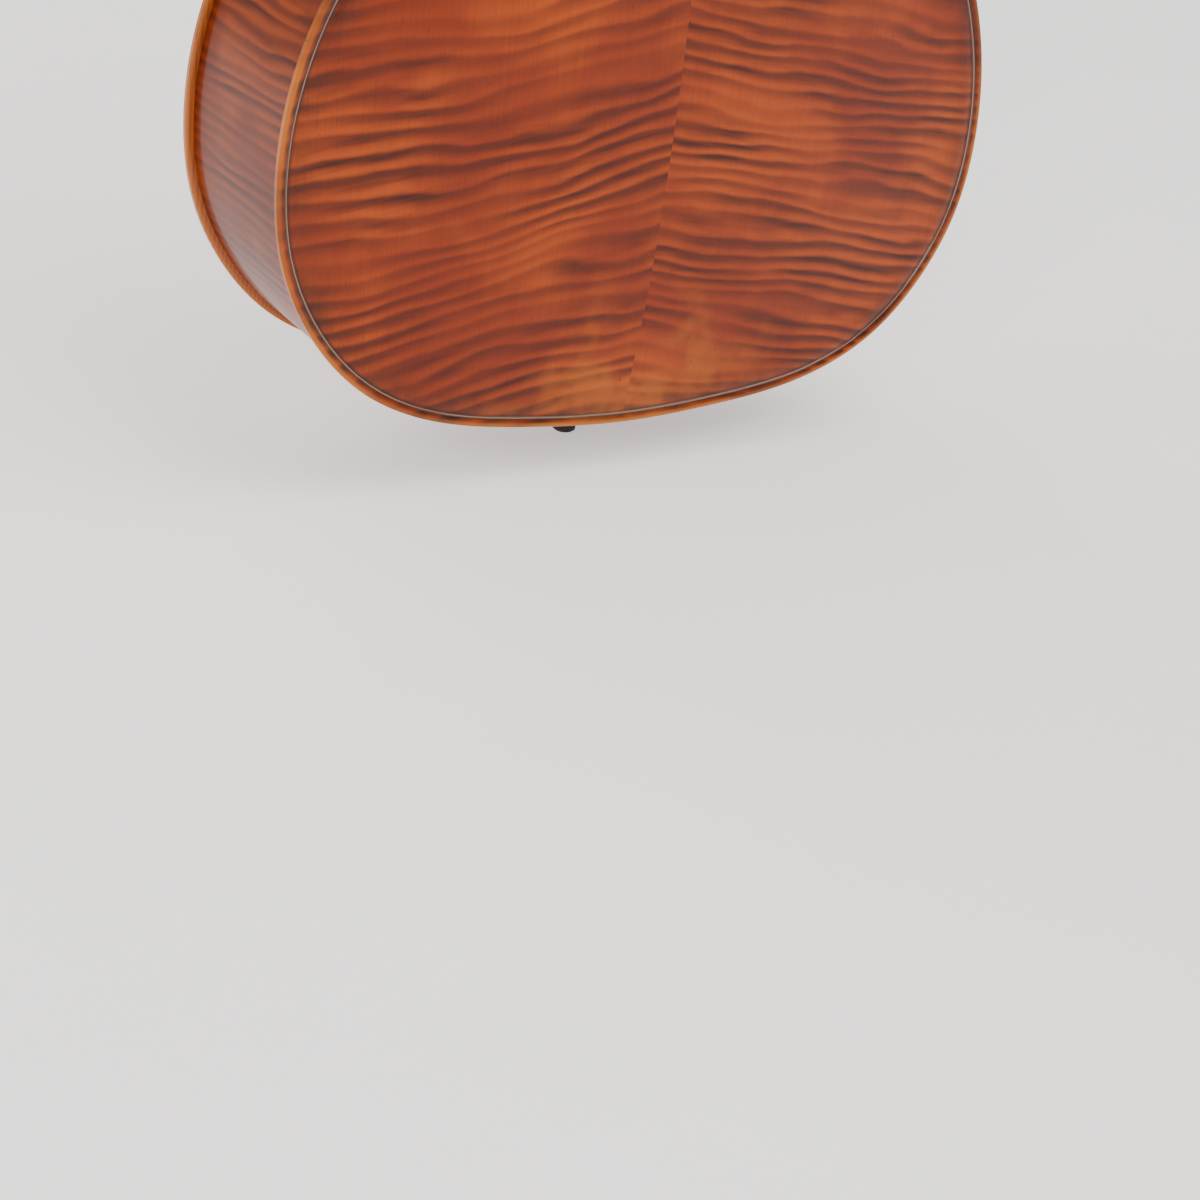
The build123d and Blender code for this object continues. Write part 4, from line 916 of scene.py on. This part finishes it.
def makePeg(string):
    half, place, thumb = cheek(string), pegPlace(string), pegs["thumb"]
    tip = -half - 1.5
    shaft = [(tip, 0), (tip, shaftRadius(string, tip) - 0.5), (tip + 0.5, shaftRadius(string, tip)),
             *[(at, shaftRadius(string, at)) for at in np.linspace(tip + 1, half + 5.5, 12)]]
    turned = shaft + [(half + out, r) for out, r in pegs["collar"]] + [(half + 22, 0)]
    made = spun(turned, pegs["turnSides"], place)
    centre = half + thumb["out"]

    def thumbPlace(i, k):
        across, round_ = pi * k / 20, 2 * pi * i / 36
        flat, lift = sin(across), cos(across)
        dished = 1 - 0.42 * exp(-(flat / 0.62) ** 4)
        return place(centre + thumb["radius"] * flat * cos(round_), thumb["radius"] * flat * sin(round_) * 0.94,
                     thumb["thick"] * np.sign(lift) * abs(lift) ** 0.75 * dished)

    head = warpedGrid(36, 20, thumbPlace)
    bmesh.ops.remove_doubles(head, verts=head.verts, dist=0.0005)
    joined(made, head)
    pip = [(centre + thumb["radius"] - 1.2 + thumb["pip"] * (1 - cos(t)), thumb["pip"] * sin(t) * 0.9)
           for t in np.linspace(0, pi, 9)]
    joined(made, spun(pip, 16, place))
    bmesh.ops.remove_doubles(made, verts=made.verts, dist=0.0005)
    piece("peg_" + string + "_turned", made, "peg_" + string, "ebonyCross", ["peg_" + string], 35.0)


def makeWinding(string):
    # the string's coils round the peg as one helical tube
    u, v, sign, r, start = pegs["places"][string]
    place, turns = pegPlace(string), int(pegs["windLength"] / (2.04 * r))
    steps, sides = turns * 26, 8

    def tubePlace(i, k):
        angle, t = 2 * pi * i / sides, k / steps
        along = start + r + (pegs["windLength"] - 2 * r) * t
        ring = shaftRadius(string, along) + r
        spin = 2 * pi * turns * t
        out = ring + r * cos(angle)
        return place(along + r * sin(angle), out * cos(spin), out * sin(spin))

    made = warpedGrid(sides, steps, tubePlace)
    bmesh.ops.remove_doubles(made, verts=made.verts, dist=0.0005)
    bmesh.ops.holes_fill(made, edges=[e for e in made.edges if e.is_boundary], sides=0)
    piece("winding_" + string + "_coil", made, "peg_" + string, "steel", ["winding_" + string],
          60.0)


for string in "cgda":
    makePeg(string)
    makeWinding(string)
print("pegs and windings made")

tail = dict(angle=15.6, after=115.0, crown=174.5, bridgeAt=354.0, top=-2.5, crossRadius=80.0,
            tuners={"c": -21.0, "g": -7.0, "d": 7.0, "a": 21.0}, screwAt=-38.0, armTop=-12.4)
tuner = dict(radius=4.0, height=5.5, shaft=2.0, ridges=22, ridge=0.22, slot=0.7)
tailUp = Vector((0, -sin(radians(tail["angle"])), cos(radians(tail["angle"]))))
tailOff = Vector((0, -cos(radians(tail["angle"])), -sin(radians(tail["angle"]))))
tailAt = Vector((0, -tail["crown"], body["bottom"] + tail["bridgeAt"])) - tailUp * tail["after"]


def knurled(profile, ridges, ridge, low, high, place):
    # turned solid whose side between two heights has fine ridges
    sides = ridges * 4
    def corner(i, k):
        along, r = profile[k]
        cut = ridge * (0.5 - 0.5 * cos(2 * pi * i / 4)) if low < along < high and r > 1 else 0.0
        angle = 2 * pi * i / sides
        return place(along, (r - cut) * cos(angle), (r - cut) * sin(angle))
    made = warpedGrid(sides, len(profile) - 1, corner)
    bmesh.ops.remove_doubles(made, verts=made.verts, dist=0.0005)
    return made


for string, x in tail["tuners"].items():
    face = tail["top"] + sqrt(tail["crossRadius"] ** 2 - x ** 2) - tail["crossRadius"]
    r, base, deep = tuner["radius"], face + 1.0, tail["armTop"] + 0.3
    crown = base + tuner["height"]
    profile = [(deep, 0), (deep, 1.2), (deep + 0.8, tuner["shaft"]), (base, tuner["shaft"]), (base, 2.8),
               (base + 0.3, 3.4), (base + 0.8, r - 0.15), (base + 1.0, r), (base + 2.6, r),
               (crown - 1.2, r), (crown - 0.9, r - 0.1), (crown - 0.35, r - 0.6), (crown - 0.05, 2.4),
               (crown, 1.2), (crown, 0)]
    made = knurled(profile, tuner["ridges"], tuner["ridge"], base + 0.9, crown - 1.0, lambda along, a, b: (
        tailAt + Vector((x + a, 0, 0)) + tailUp * (tail["screwAt"] + b) + tailOff * along))
    piece("tunerScrew_" + string, made, "tuner_screw_" + string, "nickel", ["tuner_screw_" + string],
          38.0)

clamp = dict(height=20.5, radius=2.5, head=7.0, start=-14.6, end=-22.0, inner=-7.12, ridges=24, ridge=0.4)
r, near, far = clamp["head"], clamp["start"], clamp["end"]
made = knurled([(-clamp["inner"], 0), (-clamp["inner"], clamp["radius"]), (-near, clamp["radius"]),
                (-near, r - 1.0), (-near + 0.6, r - 0.1), (-near + 0.9, r), (-near + 3, r),
                (-far - 0.9, r), (-far - 0.6, r - 0.15), (-far, r - 1.2), (-far, r - 2.4),
                (-far - 0.5, r - 3.0), (-far - 0.5, 0)],
               clamp["ridges"], clamp["ridge"], -near + 0.8, -far - 0.8,
               lambda along, a, b: Vector((a, -along, clamp["height"] + b)))
piece("clampScrew", made, "endpin_screw", "nickel", ["endpin_screw"], 38.0)
print("tuner and clamp screws made")

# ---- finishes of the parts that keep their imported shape

kept = {"bareSpruce": ["linings_back", "linings_top", "upper_block", "lower_block", "corner_blocks", "bass_bar",
                       "sound_post"],
        "bridge": ["bridge"],
        "ebony": ["fingerboard", "tailpiece", "saddle", "end_plug"],
        "ebonyCross": ["nut"], "steel": [f"string_{s}" for s in "cgda"],
        "rod": ["endpin_rod"],
        "nickel": ["tuner_axle", "endpin_ferrule"] + [f"tuner_lever_{s}" for s in "cgda"],
        "brass": ["endpin_pad"] + [f"string_ball_{s}" for s in "cgda"],
        "rubber": ["endpin_tip"], "cord": ["tail_cord"]}
for paint, nodes in kept.items():
    for node in nodes:
        data = frame["nodes"][node].data
        data.materials.clear()
        data.materials.append(finish[paint])

ground = bmesh.new()
bmesh.ops.create_grid(ground, x_segments=8, y_segments=8, size=floor["size"] / 2)
data = bpy.data.meshes.new("floor")
ground.to_mesh(data)
ground.free()
data.materials.append(finish["floor"])
groundPiece = bpy.data.objects.new("floor", data)
scene.collection.objects.link(groundPiece)

print("all pieces placed")
